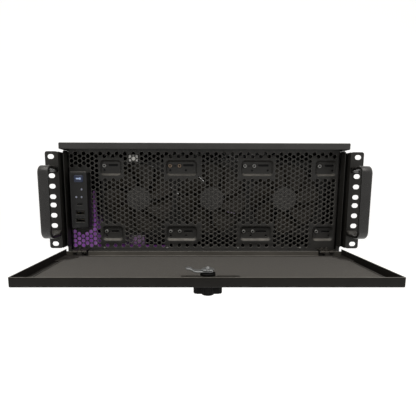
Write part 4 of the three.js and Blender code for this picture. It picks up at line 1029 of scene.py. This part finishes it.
# ---------------------------------------------------------------------- fans
def fan_frame(name, fx, fz, y0, size, depth, body, node):
    S = Shape()
    h, r = size / 2, size / 2 - 2.2
    k = size * 0.4375
    corner = rr(fx - h, fx + h, fz - h, fz + h, size * 0.06, 6)
    mounts = [circ(fx + a * k, fz + b * k, 2.1, 14) for a in (-1, 1) for b in (-1, 1)]
    bore_in = circ(fx, fz, r, 56)
    for ya, yb in ((y0, y0 + 3.6), (y0 + depth - 3.6, y0 + depth)):
        plate(S, "y", corner, ya, yb, [bore_in] + mounts, 0.35)
    skin(S, "y", [(circ(fx, fz, r, 56), y0 + 0.3), (circ(fx, fz, r + 1.6, 56), y0 + 0.3), (circ(fx, fz, r + 1.6, 56), y0 + depth - 0.3), (circ(fx, fz, r, 56), y0 + depth - 0.3)], 0, True)
    for a in (-1, 1):
        for b in (-1, 1):
            skin(S, "y", [(circ(fx + a * k, fz + b * k, q, 16), t) for q, t in ((2.1, y0 + 3), (3.9, y0 + 3), (3.9, y0 + depth - 3), (2.1, y0 + depth - 3))], 0, True)
            # stiffening webs at the corners
            wx, wz = fx + a * (k - 0.5), fz + b * (k + size * 0.045)
            block(S, min(wx, fx + a * h * 0.62), max(wx, fx + a * h * 0.62), y0 + depth * 0.45, y0 + depth * 0.55, min(wz, wz + b * 1.0), max(wz, wz + b * 1.0), 0.2)
    yb = y0 + depth
    lathe(S, "y", fx, fz, [(0, yb - 3.2), (size * 0.165, yb - 3.2), (size * 0.17, yb - 2.6), (size * 0.17, yb - 0.4), (size * 0.165, yb), (size * 0.12, yb), (size * 0.115, yb - 0.3), (0, yb - 0.3)], 40)
    for q in range(4):
        a = pi / 2 * q + 0.5
        pts = []
        for i in range(9):
            rr_ = size * 0.15 + (r + 0.8 - size * 0.15) * i / 8
            th = a + 0.34 * (i / 8) ** 1.4
            pts.append((rr_, th))
        verts, faces = [], []
        for rr_, th in pts:
            for w, t in ((-1.5, yb - 3.1), (1.5, yb - 3.1), (1.1, yb - 0.15), (-1.1, yb - 0.15)):
                ux, uz = cos(th), sin(th)
                verts.append((fx + rr_ * ux - w * uz, t, fz + rr_ * uz + w * ux))
        for i in range(8):
            for c in range(4):
                d = (c + 1) % 4
                faces.append((i * 4 + c, i * 4 + d, (i + 1) * 4 + d, (i + 1) * 4 + c))
        faces += [(0, 1, 2, 3), (32, 33, 34, 35)]
        S.add(verts, faces, 0)
    make(name, S, [FANP], body, [node])


def fan_rotor(name, fx, fz, y0, size, depth, blades, body, node, phase=0.0, seg=40):
    S = Shape()
    hub, tip, ln = size * 0.165, size / 2 - 3.6, depth - 4.6
    ya, yb = y0 + 1.0, y0 + ln
    lathe(S, "y", fx, fz, [(0, ya), (hub * 0.55, ya), (hub * 0.86, ya + 0.15), (hub * 0.95, ya + 0.6), (hub, ya + 1.6), (hub, yb), (hub * 0.8, yb), (hub * 0.78, yb - 0.6), (0, yb - 0.6)], seg, 1)
    for k in range(blades):
        base = 2 * pi * k / blades + phase
        rows, m = 9, 9
        top, bot = [], []
        for i in range(rows):
            q = i / (rows - 1)
            r = hub * 0.94 + (tip - hub * 0.94) * q
            span = (0.84 + 0.16 * q) * 2 * pi / blades * (1.0 if q < 0.9 else 0.97)
            sweep = 0.30 * q ** 1.5
            for j in range(m):
                c = j / (m - 1)
                th = base + sweep + span * (c - 0.5)
                rise = (yb - 1.2 - (ya + 1.0)) * (0.92 - 0.28 * q)
                mid = (ya + yb) / 2
                yy = mid + rise * (c - 0.5) - 1.6 * sin(pi * c) * (1 - 0.3 * q)
                thick = (0.25 + 0.75 * math.sqrt(max(0.0, 1 - (2 * c - 1) ** 2))) * (0.95 - 0.35 * q)
                yy = min(max(yy, ya + 0.9), yb - 0.9)
                rr_ = r - (0.8 if (i == rows - 1 and j in (0, m - 1)) else 0)
                top.append((fx + rr_ * cos(th), yy - thick * 0.8, fz + rr_ * sin(th)))
                bot.append((fx + rr_ * cos(th), yy + thick * 0.8, fz + rr_ * sin(th)))
        n = len(top)
        faces = []
        g = lambda i, j: i * m + j
        for i in range(rows - 1):
            for j in range(m - 1):
                faces.append((g(i, j), g(i, j + 1), g(i + 1, j + 1), g(i + 1, j)))
                faces.append((n + g(i, j), n + g(i + 1, j), n + g(i + 1, j + 1), n + g(i, j + 1)))
        ring = [g(0, j) for j in range(m)] + [g(i, m - 1) for i in range(1, rows)] + [g(rows - 1, j) for j in range(m - 2, -1, -1)] + [g(i, 0) for i in range(rows - 2, 0, -1)]
        for a, b in zip(ring, ring[1:] + ring[:1]):
            faces.append((a, b, n + b, n + a))
        S.add(top + bot, faces, 0)
    make(name, S, [BLADE, HUBM], body, [node], smooth=50)


for i, n_ in enumerate(("left", "middle", "right")):
    fan_frame("front_fan_frame_" + n_ + "_moulded", FAN_X[i], FAN_Z, 32.4, 119.6, 25, "chassis", "front_fan_frame_" + n_)
    fan_rotor("front_fan_rotor_" + n_ + "_moulded", FAN_X[i], FAN_Z, 32.4, 120, 25, 7, "front_fan_" + n_, "front_fan_rotor_" + n_, (0.35, 0.6, 0.15)[i])
for i, n_ in enumerate(("left", "right")):
    fan_frame("rear_fan_frame_" + n_ + "_moulded", RFX[i], RFZ, 441.5, 80, 25, "chassis", "rear_fan_frame_" + n_)
    fan_rotor("rear_fan_rotor_" + n_ + "_moulded", RFX[i], RFZ, 441.5, 80, 25, 5, "rear_fan_" + n_, "rear_fan_rotor_" + n_, 0.4 + i)
fan_frame("cpu_fan_frame_moulded", 2, 70, 298, 92, 25, "chassis", "cpu_fan_frame")
fan_rotor("cpu_fan_rotor_moulded", 2, 70, 298, 92, 25, 7, "cpu_fan", "cpu_fan_rotor", 0.2)
fan_rotor("psu_fan_rotor_moulded", -165, 104, 441.5, 74, 26, 7, "psu_fan", "psu_fan_rotor", 0.7)

# nylon lead clip on top of the left fan, seen through the top holes; its white nylon glows by itself, painted light
S = Shape()
plate(S, "x", [(36.0, 151.3), (46.0, 151.3), (46.0, 152.6), (44.6, 153.0), (44.6, 160.4), (43.6, 161.6), (38.4, 161.6), (37.4, 160.4), (37.4, 153.0), (36.0, 152.6)], -122.6, -109.0, (circ(41.0, 157.4, 2.4, 20),), 0.4)
for k in range(4):
    block(S, -121.0 + k * 3.1, -119.4 + k * 3.1, 36.6, 37.8, 154.0, 160.4, 0.25)
make("nylon_lead_clip", S, [NYLON_PAINTED_GLOW], "chassis")

# ---------------------------------------------------------------- power supply
S = Shape()
y0p, y1p = 306.0, 466.5
pcx = -165.0


def psu_ring(d):
    return rr(PX0 + d, PX1 - d, PZ0 + d, PZ1 - d, max(1.8 - d, 0.2), 4)


fanh = circ(pcx, 104, 38, 48)
inh, swh = (pcx - 30, pcx + 4, 18, 42), (pcx + 17, pcx + 31, 21.4, 42.6)
front_vents = [obround(pcx - 30 + i * 7.5, 30 + j * 22, 3.2, 16, 4) for i in range(9) for j in range(6)]
skin(S, "y", [(psu_ring(0.8), y0p), (psu_ring(0.2), y0p + 0.3), (psu_ring(0.0), y0p + 0.9), (psu_ring(0.0), y1p - 0.9), (psu_ring(0.2), y1p - 0.3), (psu_ring(0.8), y1p)])
cap(S, "y", [psu_ring(0.8)] + front_vents, y0p)
for fv in front_vents:
    skin(S, "y", [(fv, y0p), (fv, y0p + 6)])
    cap(S, "y", [fv], y0p + 6)
inr = rr(*inh, 1.5, 4)
swr = rr(*swh, 0.8, 3)
cap(S, "y", [psu_ring(0.8), fanh, inr, swr], y1p)
for lp, dpt in ((fanh, 26), (inr, 24), (swr, 11)):
    skin(S, "y", [(lp, y1p), (lp, y1p - dpt)])
    cap(S, "y", [lp], y1p - dpt)
# wire finger guard over the fan, inside the plane of the rear face
for r in (8, 15, 22, 29, 36):
    tube(S, [(pcx + r * cos(2 * pi * i / 48), y1p - 0.9, 104 + r * sin(2 * pi * i / 48)) for i in range(48)], 0.75, 8, 1, True)
for q in range(4):
    a = pi / 4 + pi / 2 * q
    tube(S, [(pcx + r * cos(a), y1p - 1.9, 104 + r * sin(a)) for r in (6, 20, 38.5)], 0.75, 8, 1)
make("power_supply_case", S, [BODY, STEEL], "chassis", ["power_supply"])
S = Shape()
o4 = rr(pcx - 29.7, pcx + 3.7, 18.3, 41.7, 2.0, 4)
i4 = [(pcx - 25.4, 22.6), (pcx - 24.8, 22), (pcx - 1.2, 22), (pcx - 0.6, 22.6), (pcx - 0.6, 34.2), (pcx - 4.6, 38), (pcx - 21.4, 38), (pcx - 25.4, 34.2)]
skin(S, "y", [(offset(o4, 0.4), y1p - 0.2), (o4, y1p - 0.6), (o4, y1p - 23.1), (offset(o4, 0.4), y1p - 23.5)])
cap(S, "y", [offset(o4, 0.4), i4], y1p - 0.2)
cap(S, "y", [offset(o4, 0.4)], y1p - 23.5)
skin(S, "y", [(i4, y1p - 0.2), (i4, y1p - 16)])
cap(S, "y", [i4], y1p - 16)
for dx, dz in ((-19, 27), (-7, 27), (-13, 33)):
    block(S, pcx + dx - 0.9, pcx + dx + 0.9, y1p - 16.5, y1p - 4, dz - 2.6, dz + 2.6, 0.4, 1)
make("power_inlet_three_pin", S, [PLASTIC, STEEL], "chassis", ["power_inlet"])
S = Shape()
rock = [(y1p - 9.2, 29.0), (y1p - 3.2, 22.9), (y1p - 1.2, 22.6), (y1p - 1.0, 23.2), (y1p - 2.2, 29.0), (y1p - 2.3, 32.0), (y1p - 1.6, 36.5), (y1p + 0.1, 40.6), (y1p - 0.2, 41.3), (y1p - 3.0, 40.6), (y1p - 9.2, 35.0)]
plate(S, "x", rock, pcx + 17.4, pcx + 30.6, (), 0.4)
block(S, pcx + 23.4, pcx + 24.6, y1p - 3.0, y1p - 1.85, 26.0, 29.4, 0.2, 1)
make("power_rocker", S, [PLASTIC, PIPE], "power_switch", ["power_switch_rocker"])

# -------------------------------------------------------- slots, shield, ports
S = Shape()
for i in range(SLN):
    if i == 2:
        continue
    x = SL0 + (i + .5) * SLP
    vents = [obround(x, z, 7.0, 2.6, 4) for z in range(22, 124, 6)]
    plate(S, "y", rr(x - 8, x + 8, SLZ0 - 1.5, SLZ1 + 4, 1.0, 3), 465.3, 466.4, vents, 0.15)
    # near-black block behind the vents: painted shade that keeps them dark
    block(S, x - 7.4, x + 7.4, 463.6, 465.0, SLZ0 + 1, SLZ1 - 1, 0.3, 2)
    screw(S, "z", x, 460.5, SLZ1 + 4.5, 1, 2.7, 1.6, 1, "cross", 16, x)
plate(S, "z", rr(SL0, SL0 + SLN * SLP, 455, 466.4, 0.8, 2), SLZ1 + 3, SLZ1 + 4.6, (), 0.2)
make("slot_covers_vented", S, [BODY, STEEL, SHADE_BLACK], "chassis", ["slot_covers"])
S = Shape()
PORTS = [(-104, -90, 18, 32), (-84, -68, 16, 30), (-84, -68, 34, 48), (-60, -44, 16, 30), (-60, -44, 34, 50), (-36, -18, 16, 38), (-12, 4, 16, 30), (10, 40, 16, 28)]
plate(S, "y", rr(SHX0 + 0.3, SHX1 - 0.3, SHZ0 + 0.3, SHZ1 - 0.3, 0.8, 3), 465.3, 466.3, [rr(*p, 0.6, 2) for p in PORTS] + [circ(x, z, 1.5, 12) for x, z in ((-106, 44), (-98, 44), (20, 44), (30, 44), (12, 44))], 0.2)
skin(S, "y", [(rr(SHX0 + 0.3 + d, SHX1 - 0.3 - d, SHZ0 + 0.3 + d, SHZ1 - 0.3 - d, 1.0, 3), t) for d, t in ((0, 466.2), (0.2, 467.0), (0.6, 467.2), (1.3, 467.2), (1.7, 466.9), (1.9, 466.2))], 0, True)
make("rear_io_shield_pressed", S, [ALU], "chassis", ["rear_io_shield"])

# ------------------------------------------------- board, cooler, memory, card
S = Shape()
plate(S, "z", rr(-110, 195, 215, 459, 2.0, 3), 8.5, 10.1, [circ(x, y, 2.0, 14) for x in (-100, 30, 185) for y in (230, 350, 450)], 0.15)
block(S, -30, 22, 322, 374, 10, 12.2, 0.5, 1)
block(S, -25, 17, 327, 369, 12.0, 13.4, 0.8, 3)
for (x0, x1, z0, z1), m in zip(PORTS, (3, 2, 2, 2, 2, 2, 3, 2)):
    yy = 464.4
    if z1 - z0 > 15 or x1 - x0 < 17:
        o4, i4 = rr(x0 + 0.8, x1 - 0.8, z0 + 0.8, z1 - 0.8, 0.6, 2), rr(x0 + 1.9, x1 - 1.9, z0 + 1.9, z1 - 1.9, 0.4, 2)
        skin(S, "y", [(o4, 444), (o4, yy), (i4, yy), (i4, 452)], 3)
        cap(S, "y", [o4], 444, 3)
        cap(S, "y", [i4], 452, 2)
        block(S, x0 + 3, x1 - 3, 451, yy - 1.5, (z0 + z1) / 2 - 0.9, (z0 + z1) / 2 + 0.9, 0.2, 2)
    else:
        block(S, x0 + 0.8, x1 - 0.8, 444, yy, z0 + 0.8, z1 - 0.8, 0.6, m)
        for k in range(3):
            lathe(S, "y", x0 + 6 + k * 9, (z0 + z1) / 2, [(0, yy - 0.4), (2.6, yy - 0.4), (3.0, yy + 0.1), (1.6, yy + 0.1), (1.5, yy - 2), (0, yy - 2)], 18, 1)
block(S, -100, 35, 441, 445, 10, 50, 0.6, 2)
for k in range(60):
    x, y = random.uniform(-104, 188), random.uniform(220, 436)
    if -60 < x < 95 and 235 < y < 380 or x < -95 and y > 300:
        continue
    w, d, h = random.choice(((9, 9, 1.3), (5, 3, 1.2), (3, 6, 1.6), (14, 14, 1.6), (2.2, 4, 1.0)))
    block(S, x, x + w, y, y + d, 10.0, 10.0 + h, 0.25, 1)
for k in range(22):
    x, y = -52 + (k % 11) * 8.0, 384 + (k // 11) * 9
    lathe(S, "z", x, y, [(0, 10.0), (3.0, 10.0), (3.0, 16.6), (2.6, 17.2), (0, 17.2)], 16, 3)
for x in (62, 71, 80):
    block(S, x - 2.2, x + 3.6, 236, 240 - 0.4, 10, 17.8, 0.5, 2)
    block(S, x - 2.2, x + 3.6, 373.4, 378, 10, 17.8, 0.5, 2)
block(S, 90, 92.5, 300, 390, 10, 18, 0.4, 2)
make("motherboard_populated", S, [PCB, CHIP, PORT, ALU], "chassis", ["motherboard"])
S = Shape()
plate(S, "y", rr(-48, 52, 14, 20, 1.0, 3), 324, 372, (), 0.3)
for i in range(24):
    x = 50.4 - i * 4.25
    plate(S, "y", rr(x - 0.42, x + 0.42, 19.5, 117.2, 0.2, 1), 324.3, 371.7, (), 0.1)
for k in range(4):
    xx = -30 + k * 21
    for yy in (336, 360):
        lathe(S, "z", xx, yy, [(0, 19), (3, 19), (3, 117.6), (2.4, 118), (0, 118)], 18, 1)
plate(S, "z", rr(-48, 52, 324.2, 371.8, 2, 3), 116.6, 117.4, [circ(-30 + k * 21, yy, 3.2, 18) for k in range(4) for yy in (336, 360)], 0.15)
COPPER = metal("heat_pipe_copper", (0.62, 0.33, 0.20), 0.28)
make("cpu_heatsink_finned", S, [ALU, COPPER], "chassis", ["cpu_heatsink"], smooth=40)
for i, x in enumerate((62, 71, 80)):
    S = Shape()
    plate(S, "x", rr(240, 373, 10.6, 43.0, 0.6, 2), x + 0.1, x + 1.3, (), 0.1)
    plate(S, "x", [(242, 16.2), (371, 16.2), (371, 38), (366, 41), (330, 41), (322, 43), (291, 43), (283, 41), (247, 41), (242, 38)], x - 1.5, x + 2.9, (), 0.4, mat=1)
    block(S, x - 0.9, x + 2.3, 250, 363, 40.2, 44.9, 0.8, 2)
    for k in range(30):
        block(S, x + 0.02, x + 1.38, 244 + k * 4.2, 246.6 + k * 4.2, 10.8, 14, 0.05, 3)
    make("memory_module_%d_lit" % (i + 1), S, [PCB, PLASTIC, MEMGLOW, GOLD], "chassis", ["memory_module_%d" % (i + 1)])
S = Shape()
ex = 62 + 2.5 * 20.32
plate(S, "x", rr(262, 458, 19, 118, 1.0, 3), ex - 0.8, ex + 0.8, (), 0.1, mat=1)
y_, z_ = (268, 450), (24, 114)
shroud = [circ(312, 69, 34, 40), circ(400, 69, 34, 40)]
plate(S, "x", rr(268, 450, 24, 114, 6, 5), ex - 26, ex - 22.5, shroud, 0.6)
skin(S, "x", [(rr(268, 450, 24, 114, 6, 5), ex - 23), (rr(268, 450, 24, 114, 6, 5), ex - 0.9)])
skin(S, "x", [(rr(269.5, 448.5, 25.5, 112.5, 5, 5), ex - 23), (rr(269.5, 448.5, 25.5, 112.5, 5, 5), ex - 0.9)])
for t in (ex - 23, ex - 0.9):
    cap(S, "x", [rr(268, 450, 24, 114, 6, 5), rr(269.5, 448.5, 25.5, 112.5, 5, 5)], t)
for c in (312, 400):
    lathe(S, "x", c, 69, [(0, ex - 25), (12, ex - 25), (13, ex - 24), (13, ex - 14), (0, ex - 14)], 30, 0)
    for k in range(9):
        a = 2 * pi * k / 9
        pts = []
        for i in range(6):
            r = 12 + 21 * i / 5
            for w, t in ((-0.16, ex - 23.5), (0.16, ex - 17.5)):
                th = a + w + 0.25 * i / 5
                pts.append((t, c + r * cos(th), 69 + r * sin(th)))
        vb = [(x + 0.8, y, z) for x, y, z in pts]
        fs = []
        for i in range(5):
            fs += [(2 * i, 2 * i + 1, 2 * i + 3, 2 * i + 2), (12 + 2 * i, 12 + 2 * i + 2, 12 + 2 * i + 3, 12 + 2 * i + 1), (2 * i, 2 * i + 2, 14 + 2 * i, 12 + 2 * i), (2 * i + 1, 13 + 2 * i, 15 + 2 * i, 2 * i + 3)]
        fs += [(0, 12, 13, 1), (10, 11, 23, 22)]
        S.add(pts + vb, fs, 0)
plate(S, "y", rr(ex - 8, ex + 8, 16, 126, 1.0, 3), 465.0, 466.2, [rr(ex - 4, ex + 4, 26 + k * 24, 42 + k * 24, 0.8, 2) for k in range(3)] + [obround(ex, 100 + k * 5, 8, 2.4, 4) for k in range(5)], 0.15, mat=2)
for k in range(3):
    block(S, ex - 3.7, ex + 3.7, 455, 465.4, 26.4 + k * 24, 41.6 + k * 24, 0.5, 3)
    block(S, ex - 1.4, ex + 1.4, 465.2, 465.9, 29 + k * 24, 39 + k * 24, 0.3, 0)
make("expansion_card_shrouded", S, [FANP, PCB, ALU, PORT], "chassis", ["expansion_card"])

# ------------------------------------------------------------------ drive cage
S = Shape()
CX0, CX1, CY0, CY1, CZ0, CZ1 = -208.0, -101.0, 67.0, 213.0, 2.4, 66.0
side_holes = [obround(90 + i * 22, 34, 12, 18, 5) for i in range(6)] + [circ(80 + i * 30, z, 1.8, 12) for i in range(5) for z in (12, 56)]
for x0, x1 in ((CX0, CX0 + 1.2), (CX1 - 1.2, CX1)):
    plate(S, "x", rr(CY0, CY1, CZ0, CZ1, 1.2, 3), x0, x1, side_holes, 0.2)
top_holes = [rr(CX0 + 20, CX1 - 20, CY0 + 20, CY1 - 20, 5, 5)]
for z0, z1 in ((CZ0, CZ0 + 1.2), (CZ1 - 1.2, CZ1)):
    plate(S, "z", rr(CX0, CX1, CY0, CY1, 1.2, 3), z0, z1, top_holes, 0.2)
make("drive_cage_folded", S, [BODY], "chassis", ["drive_cage"])
for nm, z0, z1 in (("lower", 5.0, 31.1), ("upper", 36.0, 62.1)):
    S = Shape()
    x0, x1, y0, y1 = CX0 + 2.7, CX1 - 2.7, CY0 + 2, CY1 - 2
    skin(S, "z", [(rr(x0 + d, x1 - d, y0 + d, y1 - d, 3.0, 5), t) for d, t in ((0.8, z0), (0, z0 + 0.8), (0, z1 - 1.6), (0.4, z1 - 1.2), (1.4, z1 - 0.9))])
    cap(S, "z", [rr(x0 + 0.8, x1 - 0.8, y0 + 0.8, y1 - 0.8, 3.0, 5)], z0)
    lobe = rr(x0 + 6, x1 - 6, y0 + 6, y1 - 6, 14, 6)
    cap(S, "z", [rr(x0 + 1.4, x1 - 1.4, y0 + 1.4, y1 - 1.4, 3.0, 5), lobe], z1 - 0.9)
    skin(S, "z", [(lobe, z1 - 0.9), (offset(lobe, 0.8), z1)])
    cap(S, "z", [offset(lobe, 0.8)], z1)
    for sx in (x0 + 4, x1 - 4):
        for sy in (y0 + 4, y1 - 4):
            screw(S, "z", sx, sy, z1 - 0.95, 1, 1.9, 0.8, 1, "torx", 14, 0.2)
    for k in range(4):
        block(S, x0 + 12 + k * 22, x0 + 26 + k * 22, y1 - 0.6, y1 + 0.0, z0 + 3, z0 + 8, 0.1, 2)
    make("drive_" + nm + "_cast", S, [ALU, STEEL, PORT], "chassis", ["drive_" + nm])
S = Shape()
plate(S, "x", [(58.6, 2.4), (65.4, 2.4), (65.4, 6), (63.6, 8.4), (62.6, 9), (59.2, 9), (58.6, 8.4)], -205, -60, (), 0.4)
make("light_bar_diffuser", S, [PURPLE], "chassis", ["light_bar"])

# panel behind the holes at the lower left corner that glows by itself with painted purple light from the light bar,
# brighter near its foot
m, nt, b, tc = nodes_of("panel_painted_bar_glow")
sx = nt.nodes.new("ShaderNodeSeparateXYZ")
nt.links.new(tc.outputs["Object"], sx.inputs[0])
cloud = noise(nt, tc, 60.0, 4.0, 0.6)
nt.links.new(mixed(nt, remap(nt, cloud, 0.3, 0.7, 0, 1), (0.09, 0.03, 0.12), (0.16, 0.05, 0.20)), b.inputs["Base Color"])
nt.links.new(remap(nt, cloud, 0.3, 0.7, 0.3, 0.5), b.inputs["Roughness"])
nt.links.new(mixed(nt, remap(nt, noise(nt, tc, 95.0, 3.0, 0.6), 0.35, 0.7, 0, 1), (0.27, 0.06, 0.42), (0.44, 0.20, 0.56)), b.inputs["Emission Color"])
# the painted glow fades with height, strongest near the light bar
rise = remap(nt, sx.outputs[2], 0.036, 0.092, 0.40, 0.03)
nt.links.new(maths(nt, "MULTIPLY", rise, remap(nt, cloud, 0.25, 0.75, 0.55, 1.25)), b.inputs["Emission Strength"])
bump(nt, b, noise(nt, tc, 500.0, 2.0), 0.2, 0.0001)
S = Shape()
lpan = [(-214, 5.2), (-176.0, 5.2), (-175.0, 6.2), (-175.0, 103), (-176.0, 104), (-179.4, 104), (-180.4, 102.8), (-180.4, 50), (-182.6, 44.6), (-213.2, 44.6), (-214.2, 43.6), (-214.2, 6.2)]
plate(S, "y", lpan, 28.6, 30.6, [circ(-210.5, 10, 1.6, 12), circ(-177.7, 99, 1.2, 12)], 0.4)
make("corner_panel_painted_glow", S, [m], "chassis")

# ---------------------------------------------------------------- thumbscrews
for nm, x in (("left", -190), ("right", 190)):
    S = Shape()

    def knurl(r, d):
        return [(x + (r + (d if i % 2 else -d)) * cos(2 * pi * i / 56), 172.0 + (r + (d if i % 2 else -d)) * sin(2 * pi * i / 56)) for i in range(56)]
    skin(S, "y", [(circ(x, 172, 3.4, 56), REAR + 0.3), (circ(x, 172, 3.4, 56), REAR + 1.6), (circ(x, 172, 4.2, 56), REAR + 1.7), (knurl(4.45, 0.15), REAR + 2.2), (knurl(4.45, 0.15), REAR + 7.4), (circ(x, 172, 4.2, 56), REAR + 8.0), (circ(x, 172, 3.6, 56), REAR + 8.4)])
    cap(S, "y", [circ(x, 172, 3.4, 56)], REAR + 0.3)
    rec = [(x + a, 172 + b) for a, b in [(0.4, 0.4), (0.4, 2), (-0.4, 2), (-0.4, 0.4), (-2, 0.4), (-2, -0.4), (-0.4, -0.4), (-0.4, -2), (0.4, -2), (0.4, -0.4), (2, -0.4), (2, 0.4)]]
    cap(S, "y", [circ(x, 172, 3.6, 56), rec], REAR + 8.4)
    skin(S, "y", [(rec, REAR + 8.4), (rec, REAR + 6.6)])
    cap(S, "y", [rec], REAR + 6.6)
    make("thumbscrew_" + nm + "_knurled", S, [STEEL], "chassis", ["thumbscrew_" + nm], smooth=24)

# --------------------------------------------------------- stage and lighting
st = nodes_of("pale_stage")
smat, snt, sb, stc = st
sb.inputs["Base Color"].default_value = (0.88, 0.88, 0.87, 1)
sb.inputs["Roughness"].default_value = 0.9
sb.inputs["Specular IOR Level"].default_value = 0.1
sb.inputs["Emission Color"].default_value = (1, 1, 1, 1)
sb.inputs["Emission Strength"].default_value = 0.42
FZ = -0.95
curve = [(-5.0, FZ)] + [(3.2, FZ)] + [(3.2 + 1.6 * sin(rad(a)), FZ + 1.6 * (1 - cos(rad(a)))) for a in range(10, 91, 10)] + [(4.8, 5.0)]
verts = [(sx, y, z) for y, z in curve for sx in (-8.0, 8.0)]
me = bpy.data.meshes.new("pale_floor")
me.from_pydata(verts, [], [(2 * i, 2 * i + 1, 2 * i + 3, 2 * i + 2) for i in range(len(curve) - 1)])
for f in me.polygons:
    f.use_smooth = True
me.materials.append(smat)
floor = bpy.data.objects.new("pale_floor", me)
scene.collection.objects.link(floor)

world = bpy.data.worlds.new("studio")
scene.world = world
world.use_nodes = True
bg = world.node_tree.nodes["Background"]
bg.inputs[0].default_value = (1.0, 0.985, 0.965, 1)
bg.inputs[1].default_value = 0.55


def area_light(name, loc, target, w, h, power, color=(1, 1, 1)):
    d = bpy.data.lights.new(name, "AREA")
    d.shape, d.size, d.size_y, d.energy, d.color = "RECTANGLE", w, h, power, color
    o = bpy.data.objects.new(name, d)
    o.location = loc
    o.rotation_mode = "QUATERNION"
    o.rotation_quaternion = (Vector(target) - Vector(loc)).to_track_quat("-Z", "Y")
    o.visible_camera = False
    scene.collection.objects.link(o)
    return o


area_light("softbox_top", (0.0, -0.55, 1.5), (0, -0.05, 0.05), 1.9, 1.1, 15.0, (1.0, 0.97, 0.93))
area_light("softbox_left", (-1.7, -0.9, 0.7), (0, 0.1, 0.08), 0.9, 1.2, 3.0, (1.0, 0.985, 0.96))
area_light("softbox_right", (1.7, -0.9, 0.7), (0, 0.1, 0.08), 0.9, 1.2, 3.0, (0.97, 0.985, 1.0))
area_light("softbox_back", (0.3, 2.2, 1.4), (0, 0.4, 0.1), 1.4, 0.8, 6.0)


def point_light(name, loc, power, color, size=0.006):
    d = bpy.data.lights.new(name, "POINT")
    d.energy, d.color, d.shadow_soft_size = power, color, size
    o = bpy.data.objects.new(name, d)
    o.location = at(*loc)
    scene.collection.objects.link(o)
    return o


for k, (x, y, z, p) in enumerate(((-150, 62, 12, 0.0004), (-118, 61, 14, 0.0012), (-100, 61, 16, 0.0012))):
    point_light("bar_glow_%d" % k, (x, y, z), p, (0.55, 0.22, 0.62), 0.012)

scene.view_settings.view_transform = "Standard"
scene.view_settings.look = "None"
